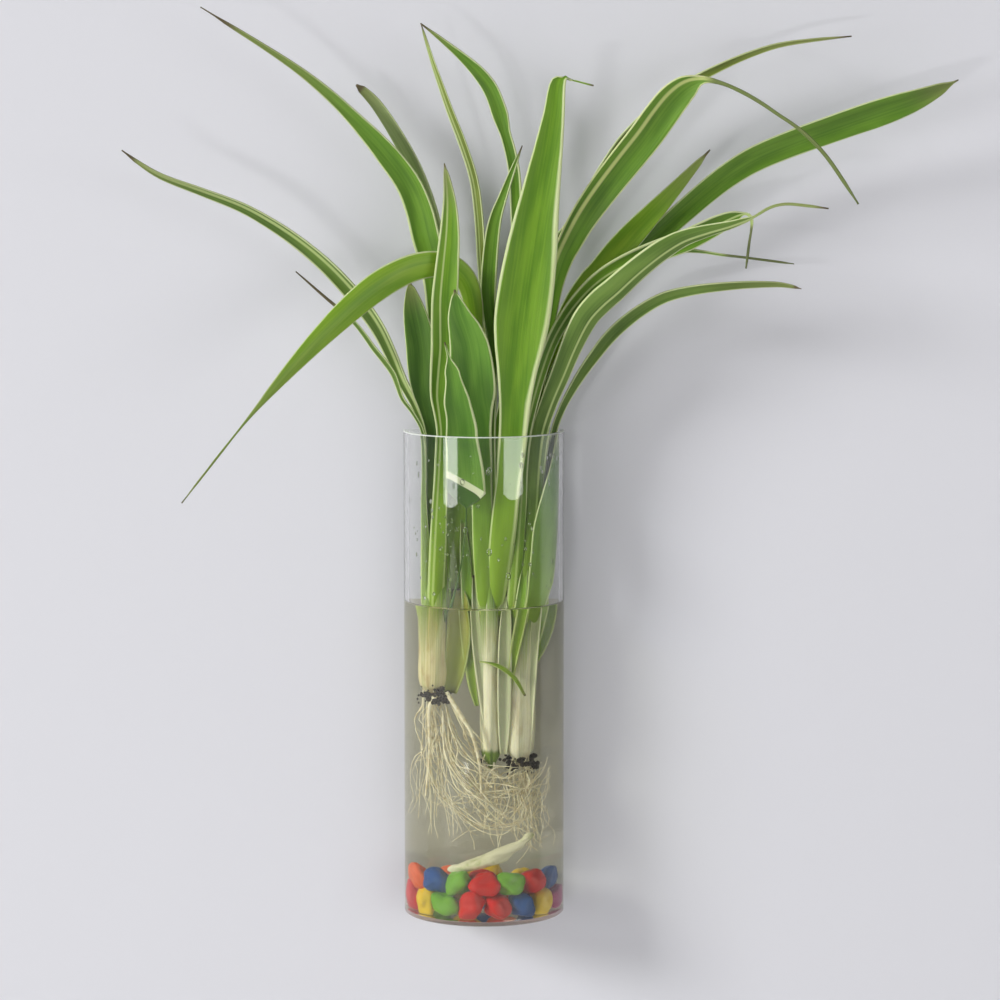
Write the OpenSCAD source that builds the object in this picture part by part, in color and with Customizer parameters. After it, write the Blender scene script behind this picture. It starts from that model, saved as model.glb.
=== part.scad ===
/* [Vase] */
// Width of the vase across the wall, twice the radius of its round front
vase_w = 70; // [60:1:100]
// Height of the vase from its underside to the rim
vase_h = 212; // [190:1:260]
// Thickness of the round front wall
wall = 2; // [1.5:0.1:3]
// Thickness of the flat back
back_thick = 2.5; // [2:0.1:4]
// Thickness of the floor
floor_thick = 2; // [1.5:0.1:4]
// Width of the polished bevel along both edges of the rim
lip_bevel = 0.4; // [0.2:0.1:0.6]

/* [Hanging] */
// Distance from the rim down to the axis of the stud
hang_drop = 46; // [35:1:60]
// Diameter of the stud's shank
shank_d = 5; // [4:0.5:6]
// Diameter of the stud's head
head_d = 9; // [8:0.5:12]
// Thickness of the stud's head
head_thick = 1.8; // [1.2:0.1:2.5]
// Width of the bevel round the stud's head
head_bevel = 0.6; // [0.3:0.1:1]
// Diameter of the spigot that holds the stud in its plate
spigot_d = 4; // [3:0.5:4.5]
// Side of the square wall plate
plate_side = 40; // [30:1:60]
// Thickness of the wall plate
plate_thick = 2; // [1.5:0.1:3]
// Corner radius of the wall plate and its pad
plate_corner_r = 5; // [2:0.5:10]
// Thickness of the adhesive pad
pad_thick = 1; // [0.6:0.1:2]
// Margin of the wall plate left bare round the pad
pad_margin = 1; // [0.5:0.5:4]
// Distance that the vase is lifted before the stud's head meets the entry hole
lift = 9; // [8:0.5:12]
// Diameter of each bumper
bumper_d = 10; // [8:0.5:14]
// Width of the bevel round each bumper
bumper_bevel = 1; // [0.5:0.1:1.5]
// Height of the bumpers above the underside
bumper_rise = 12; // [8:1:20]
// Distance of each bumper's middle from the side of the vase
bumper_inset = 15; // [9:1:20]

/* [Clearances] */
// Gap between the wall plate and the back of the vase
hang_gap = 0.3; // [0.2:0.1:0.6]
// Gap round the shank in its slot, and behind the stud's head
slot_gap = 0.3; // [0.2:0.1:0.6]
// Gap round the head in the entry hole
entry_gap = 0.5; // [0.3:0.1:1]
// Gap round the spigot in the wall plate
spigot_gap = 0.05; // [0.03:0.01:0.1]
// Gap between a pebble and whatever lies next to it
pebble_gap = 0.3; // [0.2:0.1:0.5]
// Gap between the plant and whatever it leans on
plant_gap = 0.3; // [0.2:0.1:0.6]

/* [Pebbles] */
// Width of a pebble
pebble_w = 10.3; // [9:0.1:11]
// Height of a pebble
pebble_h = 10.8; // [9:0.1:11]

/* [Plant] */
// How far the foliage reaches to either side
plant_reach = 205; // [180:1:230]
// How far the foliage rises above the rim
plant_rise = 184; // [160:1:210]
// How far the foliage stands out from the back of the vase
plant_depth = 90; // [80:1:100]
// Width of the widest leaf
leaf_w = 24; // [20:0.5:28]
// Width of a leaf at its foot
leaf_foot_w = 2.6; // [2:0.1:3]
// Thickness of a leaf along its middle
leaf_thick = 1.1; // [0.9:0.1:1.4]
// Thickness of a leaf along its edges
leaf_edge = 0.5; // [0.4:0.1:0.7]
// Width of the left and the right stem
stem_w = 12.8; // [12:0.1:14]
// Width of the middle stem
middle_stem_w = 8.4; // [8:0.1:9]
// Depth of every stem from front to back
stem_depth = 11.6; // [11:0.1:13]
// Diameter of a root where it leaves the stem
root_d = 1.8; // [1.4:0.1:2.2]
// Diameter of a root at its tip
root_tip_d = 0.8; // [0.6:0.1:1]
// Thickness of the loose sheath
sheath_d = 5; // [4:0.5:6]

/* [Hidden] */
$fn = 64;

// The wall is the plane of Y zero, and the axis of the stud is the origin's height
standoff = pad_thick + plate_thick + hang_gap;
back_y = -standoff - back_thick;
rim_z = hang_drop;
under_z = rim_z - vase_h;
floor_z = under_z + floor_thick;
round_r = vase_w / 2;
bore_r = round_r - wall;
overrun = wall;

// Pebbles lie in as many half rings round the middle of the back as there is room for, in two
// layers, the upper one settled between the pebbles of the lower one
pebble_step = pebble_w + pebble_gap;
back_room = pebble_w / 2 + pebble_gap;
outer_ring_r = bore_r - back_room;
// Sizes of pebbles that follow each other, as shares of the full size
PEBBLE_SHARES = [1, 0.96, 0.98, 0.93, 1, 0.97, 0.94];
PEBBLE_SIDES = 8;
PEBBLE_RINGS = 6;
// Latitude of a pebble's flat top and bottom, and the power that makes its outline fuller
PEBBLE_POLE_ANGLE = 84;
PEBBLE_FULLNESS = 0.8;
// Colour of each pebble, from right to left, ring by ring from the outside and layer by layer
RED = 0;
ORANGE = 1;
YELLOW = 2;
GREEN = 3;
BLUE = 4;
PURPLE = 5;
PEBBLE_HUES = [
    PURPLE, YELLOW, BLUE, RED, RED, GREEN, YELLOW, RED,
    BLUE, ORANGE, YELLOW, GREEN,
    BLUE,
    BLUE, RED, GREEN, RED, GREEN, BLUE, ORANGE,
    YELLOW, RED, ORANGE,
    YELLOW];
HUE_COLOURS = ["firebrick", "darkorange", "gold", "seagreen", "royalblue", "mediumpurple"];

// Stems: middle across and out as shares of the bore's radius, and top and foot below the rim
// as shares of the height of the vase
LEFT = 0;
MIDDLE = 1;
RIGHT = 2;
STEM_SHARES = [
    [-0.6, 0.4, 0.395, 0.53],
    [0.076, 0.4, 0.385, 0.68],
    [0.076, 0.4, 0.415, 0.67]];
STEM_SIDES = 8;
// Thickness of a stem from its top to its foot, as shares of its full thickness
STEM_SWELL_SHARES = [1, 0.97, 0.94, 0.93, 0.96, 0.9, 0.7];

// Roots: one row for each strand, with its start across and out as shares of the stem's half
// width and half depth, and its end across, out and down as shares of the bore's radius, the
// bore's radius and the room between the stem's foot and the pebbles
ROOT_SIDES = 6;
ROOT_RINGS = 8;
ROOT_SHARES = [
    [
        [-0.5, -0.3, -0.76, 0.28, 0.74], [-0.15, -0.45, -0.56, 0.2, 0.6],
        [0.25, -0.4, -0.36, 0.2, 0.78], [0.52, -0.1, -0.13, 0.34, 0.66],
        [0.45, 0.35, -0.17, 0.55, 0.74], [0.1, 0.05, -0.38, 0.42, 0.82],
        [0.05, 0.5, -0.36, 0.66, 0.68], [-0.3, 0.15, -0.6, 0.45, 0.7],
        [-0.4, 0.5, -0.66, 0.62, 0.8]],
    [
        [-0.4, -0.3, 0, 0.24, 0.7], [0.3, -0.25, 0.16, 0.22, 0.85],
        [-0.35, 0.35, 0, 0.6, 0.6], [0.3, 0.4, 0.17, 0.62, 0.8]],
    [
        [-0.4, -0.35, 0.32, 0.2, 0.7], [0.2, -0.45, 0.5, 0.2, 0.85],
        [0.5, -0.1, 0.78, 0.3, 0.6], [0, 0.05, 0.46, 0.42, 0.75],
        [0.4, 0.4, 0.7, 0.56, 0.8], [-0.35, 0.45, 0.36, 0.64, 0.65]]];

// The loose sheath: across and out as shares of the bore's radius, up in thicknesses above the
// pebbles, and thickness as a share of the full one
SHEATH_SHARES = [
    [-0.42, 0.7, 0.12, 0.3], [-0.2, 0.74, 0.28, 0.75], [0.06, 0.76, 0.44, 1],
    [0.34, 0.75, 1.1, 0.85], [0.61, 0.73, 2.4, 0.35]];

// Leaves: one row for each leaf, with its stem, its foot on the stem across and out as shares
// of the stem's half width and half depth, its place in the mouth across and out as shares of
// the place where it leans on the wall, and its full width and its width at the tip as shares of
// the widest leaf
LEAF_SHARES = [
    [LEFT, -0.05, -0.6, -0.65, 0.22, 0.52, 0.03],
    [LEFT, 0.55, -0.55, -0.4, 0.17, 0.28, 0.12],
    [LEFT, -0.6, -0.45, -0.81, 0.26, 0.3, 0.03],
    [LEFT, -0.62, 0.1, -0.83, 0.46, 0.18, 0.03],
    [LEFT, -0.05, 0, -0.74, 0.43, 0.56, 0.05],
    [LEFT, -0.2, 0.6, -0.58, 0.69, 0.5, 0.03],
    [MIDDLE, -0.4, 0, -0.13, 0.49, 0.52, 0.03],
    [MIDDLE, -0.4, 0.6, -0.05, 0.73, 0.8, 0.03],
    [LEFT, 0.55, 0.55, -0.32, 0.91, 0.62, 0.04],
    [MIDDLE, -0.4, -0.6, -0.05, 0.21, 0.2, 0.03],
    [MIDDLE, 0.4, -0.6, 0.18, 0.21, 0.28, 0.03],
    [MIDDLE, 0.4, 0, 0.11, 0.38, 0.28, 0.03],
    [MIDDLE, 0.4, 0.6, 0.47, 0.89, 1, 0.25],
    [RIGHT, 0, 0, 0.68, 0.41, 0.6, 0.06],
    [RIGHT, -0.6, -0.5, 0.57, 0.16, 0.26, 0.03],
    [RIGHT, -0.6, 0.05, 0.51, 0.35, 0.48, 0.04],
    [RIGHT, 0, -0.6, 0.83, 0.18, 0.52, 0.05],
    [RIGHT, -0.3, 0.6, 0.59, 0.61, 0.4, 0.06],
    [RIGHT, 0.35, 0.55, 0.82, 0.57, 0.6, 0.06],
    [RIGHT, 0.6, 0, 0.85, 0.4, 0.28, 0.06],
    [RIGHT, 0.6, -0.5, 0.97, 0.24, 0.24, 0.03]];
// Shape of each leaf: the share of its width by which its edges stand forward of its middle,
// how far along its way above the rim it is widest, how far from there to its tip the blade
// goes on, and the power of the curve by which the blade narrows
LEAF_FORM_SHARES = [
    [0.14, 0.35, 1, 1.5], [0.1, 0.45, 1, 2], [0.2, 0.4, 1, 1.5], [0.1, 0.4, 1, 1.5],
    [0.1, 0.45, 1, 1.8], [0.12, 0.35, 1, 1.7], [-0.12, 0.55, 0.65, 1.4], [0.1, 0.3, 1, 1.6],
    [0.1, 0.25, 1, 1.5], [0.15, 0.4, 1, 1.6], [0.15, 0.45, 1, 1.8], [0.15, 0.45, 1, 1.6],
    [0.1, 0.38, 1, 1.25], [0.16, 0.38, 0.28, 3], [0.16, 0.4, 1, 1.5], [0.12, 0.5, 1, 1.6],
    [0.14, 0.8, 1, 1.8], [0.12, 0.45, 0.45, 3], [-0.12, 0.4, 0.5, 1.6], [0.12, 0.35, 0.4, 1.5],
    [0.12, 0.4, 1, 1.5]];
// How far each leaf is turned about its own length, in degrees, at the foot and at the tip
LEAF_TURNS = [
    [10, 20], [10, 20], [10, 30], [0, 25], [0, 10], [0, 5], [0, 25], [0, 0], [0, 0], [0, 20],
    [0, 15], [0, 10], [0, 5], [0, -20], [0, -20], [0, -10], [0, -25], [0, -20], [0, -25],
    [0, -20], [0, -20]];
// The way of each leaf above the rim: across, out and up as shares of the foliage's reach,
// depth and rise
LEAF_ROUTE_SHARES = [
    [[-0.1, 0.1, 0.32], [-0.12, 0.12, 0.46], [-0.16, 0.15, 0.59], [-0.27, 0.21, 0.735],
        [-0.39, 0.27, 0.85], [-0.58, 0.36, 0.985]],
    [[-0.085, 0.05, 0.34], [-0.105, 0.06, 0.49], [-0.15, 0.08, 0.63], [-0.22, 0.11, 0.76],
        [-0.265, 0.14, 0.81]],
    [[-0.17, 0.12, 0.12], [-0.22, 0.14, 0.245], [-0.29, 0.18, 0.35], [-0.38, 0.24, 0.445],
        [-0.5, 0.31, 0.53], [-0.66, 0.4, 0.6], [-0.74, 0.46, 0.66]],
    [[-0.17, 0.18, 0.08], [-0.19, 0.19, 0.14], [-0.23, 0.2, 0.2], [-0.27, 0.22, 0.26],
        [-0.33, 0.25, 0.32], [-0.39, 0.28, 0.38]],
    [[-0.125, 0.15, 0.1], [-0.13, 0.16, 0.2], [-0.145, 0.17, 0.29], [-0.155, 0.18, 0.355]],
    [[-0.09, 0.24, 0.09], [-0.08, 0.28, 0.2], [-0.08, 0.32, 0.32], [-0.07, 0.34, 0.46],
        [-0.07, 0.36, 0.55], [-0.08, 0.38, 0.63]],
    [[-0.02, 0.18, 0.13], [-0.02, 0.2, 0.25], [-0.03, 0.23, 0.34], [-0.07, 0.27, 0.39],
        [-0.14, 0.33, 0.39], [-0.22, 0.42, 0.345], [-0.3, 0.51, 0.27], [-0.38, 0.6, 0.18],
        [-0.46, 0.68, 0.08], [-0.54, 0.76, -0.03], [-0.61, 0.82, -0.13]],
    [[-0.02, 0.27, 0.1], [-0.03, 0.31, 0.21], [-0.05, 0.34, 0.28], [-0.06, 0.36, 0.34]],
    [[-0.055, 0.34, 0.08], [-0.065, 0.37, 0.15], [-0.08, 0.4, 0.22]],
    [[0, 0.07, 0.24], [-0.005, 0.08, 0.41], [-0.02, 0.1, 0.59], [-0.07, 0.13, 0.75],
        [-0.105, 0.15, 0.86], [-0.13, 0.17, 0.95]],
    [[0.07, 0.08, 0.24], [0.07, 0.1, 0.43], [0.065, 0.12, 0.6], [0.045, 0.14, 0.7],
        [0.015, 0.17, 0.8], [-0.04, 0.2, 0.87], [-0.13, 0.24, 0.95]],
    [[0.02, 0.14, 0.2], [0.01, 0.15, 0.32], [0.02, 0.17, 0.47], [0.04, 0.19, 0.55],
        [0.08, 0.21, 0.67]],
    [[0.07, 0.3, 0.15], [0.08, 0.33, 0.27], [0.1, 0.36, 0.43], [0.115, 0.38, 0.54],
        [0.135, 0.41, 0.67], [0.155, 0.44, 0.82]],
    [[0.14, 0.2, 0.32], [0.18, 0.24, 0.45], [0.24, 0.29, 0.56], [0.33, 0.36, 0.69],
        [0.39, 0.42, 0.78], [0.45, 0.47, 0.82], [0.53, 0.53, 0.79], [0.6, 0.57, 0.74],
        [0.65, 0.6, 0.7], [0.7, 0.63, 0.64], [0.76, 0.66, 0.54]],
    [[0.135, 0.08, 0.38], [0.18, 0.09, 0.48], [0.225, 0.1, 0.56], [0.29, 0.12, 0.675],
        [0.36, 0.14, 0.755], [0.41, 0.16, 0.8], [0.49, 0.19, 0.85], [0.61, 0.22, 0.9],
        [0.76, 0.26, 0.92]],
    [[0.18, 0.14, 0.29], [0.245, 0.15, 0.38], [0.31, 0.17, 0.465], [0.385, 0.2, 0.555],
        [0.47, 0.23, 0.66]],
    [[0.15, 0.08, 0.16], [0.21, 0.1, 0.29], [0.29, 0.12, 0.39], [0.36, 0.14, 0.46],
        [0.47, 0.17, 0.57], [0.57, 0.2, 0.645], [0.72, 0.23, 0.71], [0.81, 0.25, 0.745],
        [0.9, 0.27, 0.78], [0.98, 0.29, 0.82]],
    [[0.14, 0.24, 0.21], [0.21, 0.27, 0.33], [0.28, 0.3, 0.39], [0.36, 0.33, 0.43],
        [0.42, 0.35, 0.455], [0.49, 0.38, 0.495], [0.535, 0.4, 0.515], [0.552, 0.41, 0.5],
        [0.547, 0.42, 0.45], [0.54, 0.43, 0.39]],
    [[0.16, 0.26, 0.14], [0.21, 0.34, 0.27], [0.27, 0.4, 0.34], [0.34, 0.46, 0.41],
        [0.41, 0.5, 0.46], [0.5, 0.55, 0.49], [0.55, 0.58, 0.51], [0.58, 0.6, 0.53],
        [0.62, 0.62, 0.54], [0.7, 0.65, 0.53]],
    [[0.19, 0.2, 0.27], [0.26, 0.24, 0.36], [0.34, 0.28, 0.41], [0.41, 0.31, 0.43],
        [0.49, 0.34, 0.42], [0.57, 0.37, 0.41], [0.64, 0.4, 0.4]],
    [[0.185, 0.13, 0.1], [0.235, 0.15, 0.185], [0.29, 0.17, 0.255], [0.38, 0.2, 0.32],
        [0.5, 0.24, 0.345], [0.61, 0.27, 0.35], [0.66, 0.29, 0.34]]];
LEAF_SIDES = 6;
// Rings of a leaf between one point of its way and the next
LEAF_STEPS = 2;
// Place of the mouth on a leaf's way, counted in points from its foot
MOUTH_AT = 3;
// Widths of a leaf in the mouth, as a share of its full width
MOUTH_SHARE = 0.5;

function unit(v) = v / norm(v);
function ease(t) = t * t * (3 - 2 * t);
function clip(t) = min(1, max(0, t));

// A smooth curve through the points p, at place s counted in points
function spline(p, s) = let (
    last = len(p) - 1,
    k = max(0, min(floor(s), last - 1)),
    f = s - k,
    b = p[k],
    c = p[k + 1],
    a = k > 0 ? p[k - 1] : 2 * b - c,
    d = k + 2 <= last ? p[k + 2] : 2 * c - b)
    (2 * b + (c - a) * f + (2 * a - 5 * b + 4 * c - d) * f * f
        + (3 * b - a - 3 * c + d) * f * f * f) / 2;

// Direction of the curve at place s, from two places that lie this share of a point away from it
HEADING_SHARE = 0.1;
function heading(p, s) = unit(spline(p, s + HEADING_SHARE) - spline(p, s - HEADING_SHARE));

// A place across, out from the back and up
function place(across, out, up) = [across, back_y - out, up];

// Faces of a closed skin over rings of points, each with an even number of sides
function skin_faces(rings, sides, first) = [
    for (i = [0:rings - 2], j = [0:sides - 1])
        let (a = first + i * sides, k = (j + 1) % sides)
        each [[a + j, a + k, a + sides + j], [a + k, a + sides + k, a + sides + j]],
    for (k = [0:sides / 2 - 2])
        let (a = first, b = first + (rings - 1) * sides, m = sides - 1 - k)
        each [[a + k, a + m, a + k + 1], [a + k + 1, a + m, a + m - 1],
            [b + k, b + k + 1, b + m], [b + k + 1, b + m - 1, b + m]]];

// One closed solid for each list of rings, all with as many rings and sides
module skins(solids, sides) {
    rings = len(solids[0]) / sides;
    polyhedron(
        points = [for (solid = solids) each solid],
        faces = [for (i = [0:len(solids) - 1]) each skin_faces(rings, sides, i * rings * sides)],
        convexity = 10);
}

// A ring of points round a centre, in the plane across a heading
function round_ring(centre, along, r, sides) = let (
    side = unit(cross(along, [0, -1, 0])),
    face = cross(side, along))
    [for (j = [0:sides - 1]) centre + r * (side * cos(360 * j / sides)
        + face * sin(360 * j / sides))];

// A flat plate in the XZ plane with round corners, its back on the plane of the given y
module square_plate(side, corner_r, thick, y) {
    translate([0, y, 0]) rotate([90, 0, 0]) linear_extrude(thick) union() {
        square([side - 2 * corner_r, side], center = true);
        square([side, side - 2 * corner_r], center = true);
        for (x = [-1, 1], z = [-1, 1])
            translate([x * (side / 2 - corner_r), z * (side / 2 - corner_r)]) circle(corner_r);
    }
}

// A round piece about the Y axis, from a profile of radius and distance from the wall
module turned(profile) {
    rotate([90, 0, 0]) rotate_extrude() polygon(profile);
}

module adhesive_pad() {
    color("whitesmoke")
        square_plate(plate_side - 2 * pad_margin, plate_corner_r - pad_margin, pad_thick, 0);
}

module wall_plate() {
    color("lightcyan") difference() {
        square_plate(plate_side, plate_corner_r, plate_thick, -pad_thick);
        translate([0, overrun, 0]) rotate([90, 0, 0])
            cylinder(h = standoff + 2 * overrun, d = spigot_d + 2 * spigot_gap);
    }
}

// The stud's spigot fills the plate's hole, its shank carries the vase and its head keeps it on
module stud() {
    seat = pad_thick + plate_thick;
    head_from = standoff + back_thick + slot_gap;
    head_to = head_from + head_thick;
    color("silver") turned([
        [0, pad_thick], [spigot_d / 2, pad_thick], [spigot_d / 2, seat], [shank_d / 2, seat],
        [shank_d / 2, head_from], [head_d / 2, head_from], [head_d / 2, head_to - head_bevel],
        [head_d / 2 - head_bevel, head_to], [0, head_to]]);
}

module front_shell() {
    color("lightblue") translate([0, back_y, floor_z]) rotate([0, 0, 180])
        rotate_extrude(angle = 180) polygon([
            [bore_r, 0], [round_r, 0], [round_r, vase_h - floor_thick - lip_bevel],
            [round_r - lip_bevel, vase_h - floor_thick], [bore_r + lip_bevel, vase_h - floor_thick],
            [bore_r, vase_h - floor_thick - lip_bevel]]);
}

// The keyhole's slot hangs on the shank, and its entry hole lets the head through
module keyhole() {
    depth = back_thick + 2 * overrun;
    slot_w = shank_d + 2 * slot_gap;
    translate([0, -standoff + overrun, 0]) {
        rotate([90, 0, 0]) cylinder(h = depth, d = slot_w);
        translate([-slot_w / 2, -depth, -lift]) cube([slot_w, depth, lift]);
        translate([0, 0, -lift]) rotate([90, 0, 0])
            cylinder(h = depth, d = head_d + 2 * entry_gap);
    }
}

module back_plate() {
    color("lightblue") difference() {
        translate([-round_r, back_y, floor_z]) cube([vase_w, back_thick, vase_h - floor_thick]);
        keyhole();
    }
}

module base_plate() {
    color("lightblue") translate([0, back_y, under_z]) union() {
        rotate([0, 0, 180]) rotate_extrude(angle = 180) square([round_r, floor_thick]);
        translate([-round_r, 0, 0]) cube([vase_w, back_thick, floor_thick]);
    }
}

module bumper(side) {
    color("azure") translate([side * (round_r - bumper_inset), 0, under_z + bumper_rise]) turned([
        [0, 0], [bumper_d / 2 - bumper_bevel, 0], [bumper_d / 2, bumper_bevel],
        [bumper_d / 2, standoff], [0, standoff]]);
}

// Each ring's radius, the angle at which it starts clear of the back, and the pebbles that it
// holds in the lower layer; the upper layer has one fewer in every ring that has two or more
ring_last = floor((outer_ring_r - back_room) / pebble_step);
function ring_r(ring) = outer_ring_r - ring * pebble_step;
function ring_start(ring) = asin(back_room / ring_r(ring));
function ring_full(ring) = 1 + floor((90 - ring_start(ring))
    / asin(min(1, pebble_step / 2 / ring_r(ring))));
function ring_count(layer, ring) = let (full = ring_full(ring)) full > 1 ? full - layer : 1;
function ring_turn(ring) = let (full = ring_full(ring))
    full > 1 ? (180 - 2 * ring_start(ring)) / (full - 1) : 0;
// Height of an upper pebble above the lower ones on which it lies
function ring_rise(ring) = (pebble_h + pebble_gap)
    * sqrt(max(0, 1 - pow(2 * ring_r(ring) * sin(ring_turn(ring) / 4) / pebble_step, 2)));

// Every pebble as its layer, its ring and its place in the ring
PEBBLES = [for (layer = [0, 1], ring = [0:ring_last], i = [0:ring_count(layer, ring) - 1])
    [layer, ring, i]];

function pebble_angle(layer, ring, i) = ring_full(ring) > 1
    ? ring_start(ring) + ring_turn(ring) * (i + layer / 2) : 90;

// The rings of points of one pebble: squashed at its poles and a little square
function pebble_skin(n) = let (
    layer = PEBBLES[n][0],
    ring = PEBBLES[n][1],
    angle = pebble_angle(layer, ring, PEBBLES[n][2]),
    r = ring_r(ring),
    size = PEBBLE_SHARES[n % len(PEBBLE_SHARES)],
    centre = place(r * cos(angle), r * sin(angle),
        floor_z + pebble_gap + pebble_h / 2 + layer * ring_rise(ring)),
    radial = [cos(angle), -sin(angle), 0],
    tangent = [sin(angle), cos(angle), 0])
    [for (i = [0:PEBBLE_RINGS - 1], j = [0:PEBBLE_SIDES - 1])
        let (
            rise = PEBBLE_POLE_ANGLE * (2 * i / (PEBBLE_RINGS - 1) - 1),
            turn = 360 * (j + n / 3) / PEBBLE_SIDES,
            flat = size * pow(cos(rise), PEBBLE_FULLNESS) * pebble_w / 2)
        centre + radial * flat * cos(turn) - tangent * flat * sin(turn)
            + [0, 0, size * sin(rise) * pebble_h / 2]];

// Colour of a pebble; more pebbles than the list holds repeat it without its single purple one
function pebble_hue(n) = let (more = len(PEBBLE_HUES) - 1)
    PEBBLE_HUES[n > more ? 1 + (n - 1) % more : n];

module pebbles(hue) {
    color(HUE_COLOURS[hue]) skins(
        [for (n = [0:len(PEBBLES) - 1]) if (pebble_hue(n) == hue) pebble_skin(n)], PEBBLE_SIDES);
}

// Top of the pebbles that lie along the wall
bed_z = floor_z + pebble_gap + pebble_h + ring_rise(0);

module loose_sheath() {
    way = [for (q = SHEATH_SHARES)
        place(q[0] * bore_r, q[1] * bore_r, bed_z + q[2] * sheath_d)];
    steps = LEAF_STEPS * (len(way) - 1);
    color("wheat") skins([[for (i = [0:steps])
        let (s = i / LEAF_STEPS)
        each round_ring(spline(way, s), heading(way, s),
            spline([for (q = SHEATH_SHARES) q[3]], s) * sheath_d / 2, STEM_SIDES)]], STEM_SIDES);
}

// Width, middle, top and foot of a stem; the right one stands beside the middle one
function stem_width(stem) = stem == MIDDLE ? middle_stem_w : stem_w;
function stem_x(stem) = STEM_SHARES[stem][0] * bore_r
    + (stem == RIGHT ? (middle_stem_w + stem_w) / 2 + plant_gap : 0);
function stem_out(stem) = STEM_SHARES[stem][1] * bore_r;
function stem_top(stem) = rim_z - STEM_SHARES[stem][2] * vase_h;
function stem_foot(stem) = rim_z - STEM_SHARES[stem][3] * vase_h;

module stem(stem) {
    last = len(STEM_SWELL_SHARES) - 1;
    color("beige") skins([[for (i = [0:last], j = [0:STEM_SIDES - 1])
        let (
            swell = STEM_SWELL_SHARES[i],
            turn = 360 * (j + 1 / 2) / STEM_SIDES,
            flat = 1 / cos(180 / STEM_SIDES),
            up = stem_top(stem) + (stem_foot(stem) - stem_top(stem)) * i / last)
        place(stem_x(stem) + swell * flat * cos(turn) * stem_width(stem) / 2,
            stem_out(stem) - swell * flat * sin(turn) * stem_depth / 2, up)]], STEM_SIDES);
}

// Every strand leaves the stem's foot straight down, spreads out and ends above the pebbles
module roots(stem) {
    room = stem_foot(stem) - bed_z;
    strands = [for (q = ROOT_SHARES[stem])
        let (
            from = place(stem_x(stem) + q[0] * stem_width(stem) / 2,
                stem_out(stem) + q[1] * stem_depth / 2, stem_foot(stem)),
            to = place(q[2] * bore_r, q[3] * bore_r, stem_foot(stem) - q[4] * room),
            bend = [from[0], from[1], (2 * from[2] + to[2]) / 3])
        [for (i = [0:ROOT_RINGS - 1], j = [0:ROOT_SIDES - 1])
            let (
                t = i / (ROOT_RINGS - 1),
                mid = from * (1 - t) * (1 - t) + 2 * bend * t * (1 - t) + to * t * t,
                r = (root_d + (root_tip_d - root_d) * t) / 2,
                turn = 360 * j / ROOT_SIDES)
            mid + [r * cos(turn), r * sin(turn), 0]]];
    color("burlywood") skins(strands, ROOT_SIDES);
}

// The whole way of a leaf, from its foot through the mouth and along its route
function leaf_way(n) = let (
    q = LEAF_SHARES[n],
    foot = place(stem_x(q[0]) + q[1] * stem_width(q[0]) / 2,
        stem_out(q[0]) + q[2] * stem_depth / 2, stem_top(q[0])),
    leaning = bore_r - plant_gap - MOUTH_SHARE * q[5] * leaf_w / 2,
    mouth = place(q[3] * leaning, q[4] * leaning, rim_z))
    concat([foot, foot * 2 / 3 + mouth / 3, foot / 3 + mouth * 2 / 3, mouth],
        [for (r = LEAF_ROUTE_SHARES[n])
            place(r[0] * plant_reach, r[1] * plant_depth, rim_z + r[2] * plant_rise)]);

// Width of a leaf at place s of its way: narrow in the vase, full on its way and thin at its tip
function leaf_width(n, s, last) = let (
    full = LEAF_SHARES[n][5] * leaf_w,
    tip = LEAF_SHARES[n][6] * leaf_w,
    form = LEAF_FORM_SHARES[n],
    widest = MOUTH_AT + (last - MOUTH_AT) * form[1],
    blade_end = widest + (last - widest) * form[2],
    in_vase = ease(clip(s / MOUTH_AT)),
    opening = ease(clip((s - MOUTH_AT) / (widest - MOUTH_AT))),
    narrowing = pow(clip((s - widest) / (blade_end - widest)), form[3]))
    s < MOUTH_AT ? leaf_foot_w + (MOUTH_SHARE * full - leaf_foot_w) * in_vase
    : s < widest ? full * (MOUTH_SHARE + (1 - MOUTH_SHARE) * opening)
    : tip + (full - tip) * (1 - narrowing);

// Six points across a leaf: both edges and the middle, on its upper and under side
function leaf_ring(centre, along, w, fold, turn) = let (
    side0 = unit(cross(along, [0, -1, 0])),
    face0 = cross(side0, along),
    side = side0 * cos(turn) + face0 * sin(turn),
    face = face0 * cos(turn) - side0 * sin(turn),
    rise = fold * w)
    [for (c = [[-w / 2, rise - leaf_edge / 2], [0, -leaf_thick / 2], [w / 2, rise - leaf_edge / 2],
        [w / 2, rise + leaf_edge / 2], [0, leaf_thick / 2], [-w / 2, rise + leaf_edge / 2]])
        centre + side * c[0] + face * c[1]];

module leaf(n) {
    way = leaf_way(n - 1);
    last = len(way) - 1;
    color("olivedrab") skins([[for (i = [0:last * LEAF_STEPS])
        let (
            s = i / LEAF_STEPS,
            along = i == 0 ? [0, 0, 1] : heading(way, s),
            turns = LEAF_TURNS[n - 1],
            fold = LEAF_FORM_SHARES[n - 1][0] * ease(clip(s / last * 2)))
        each leaf_ring(spline(way, s), along, leaf_width(n - 1, s, last), fold,
            turns[0] + (turns[1] - turns[0]) * s / last)]], LEAF_SIDES);
}

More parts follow.
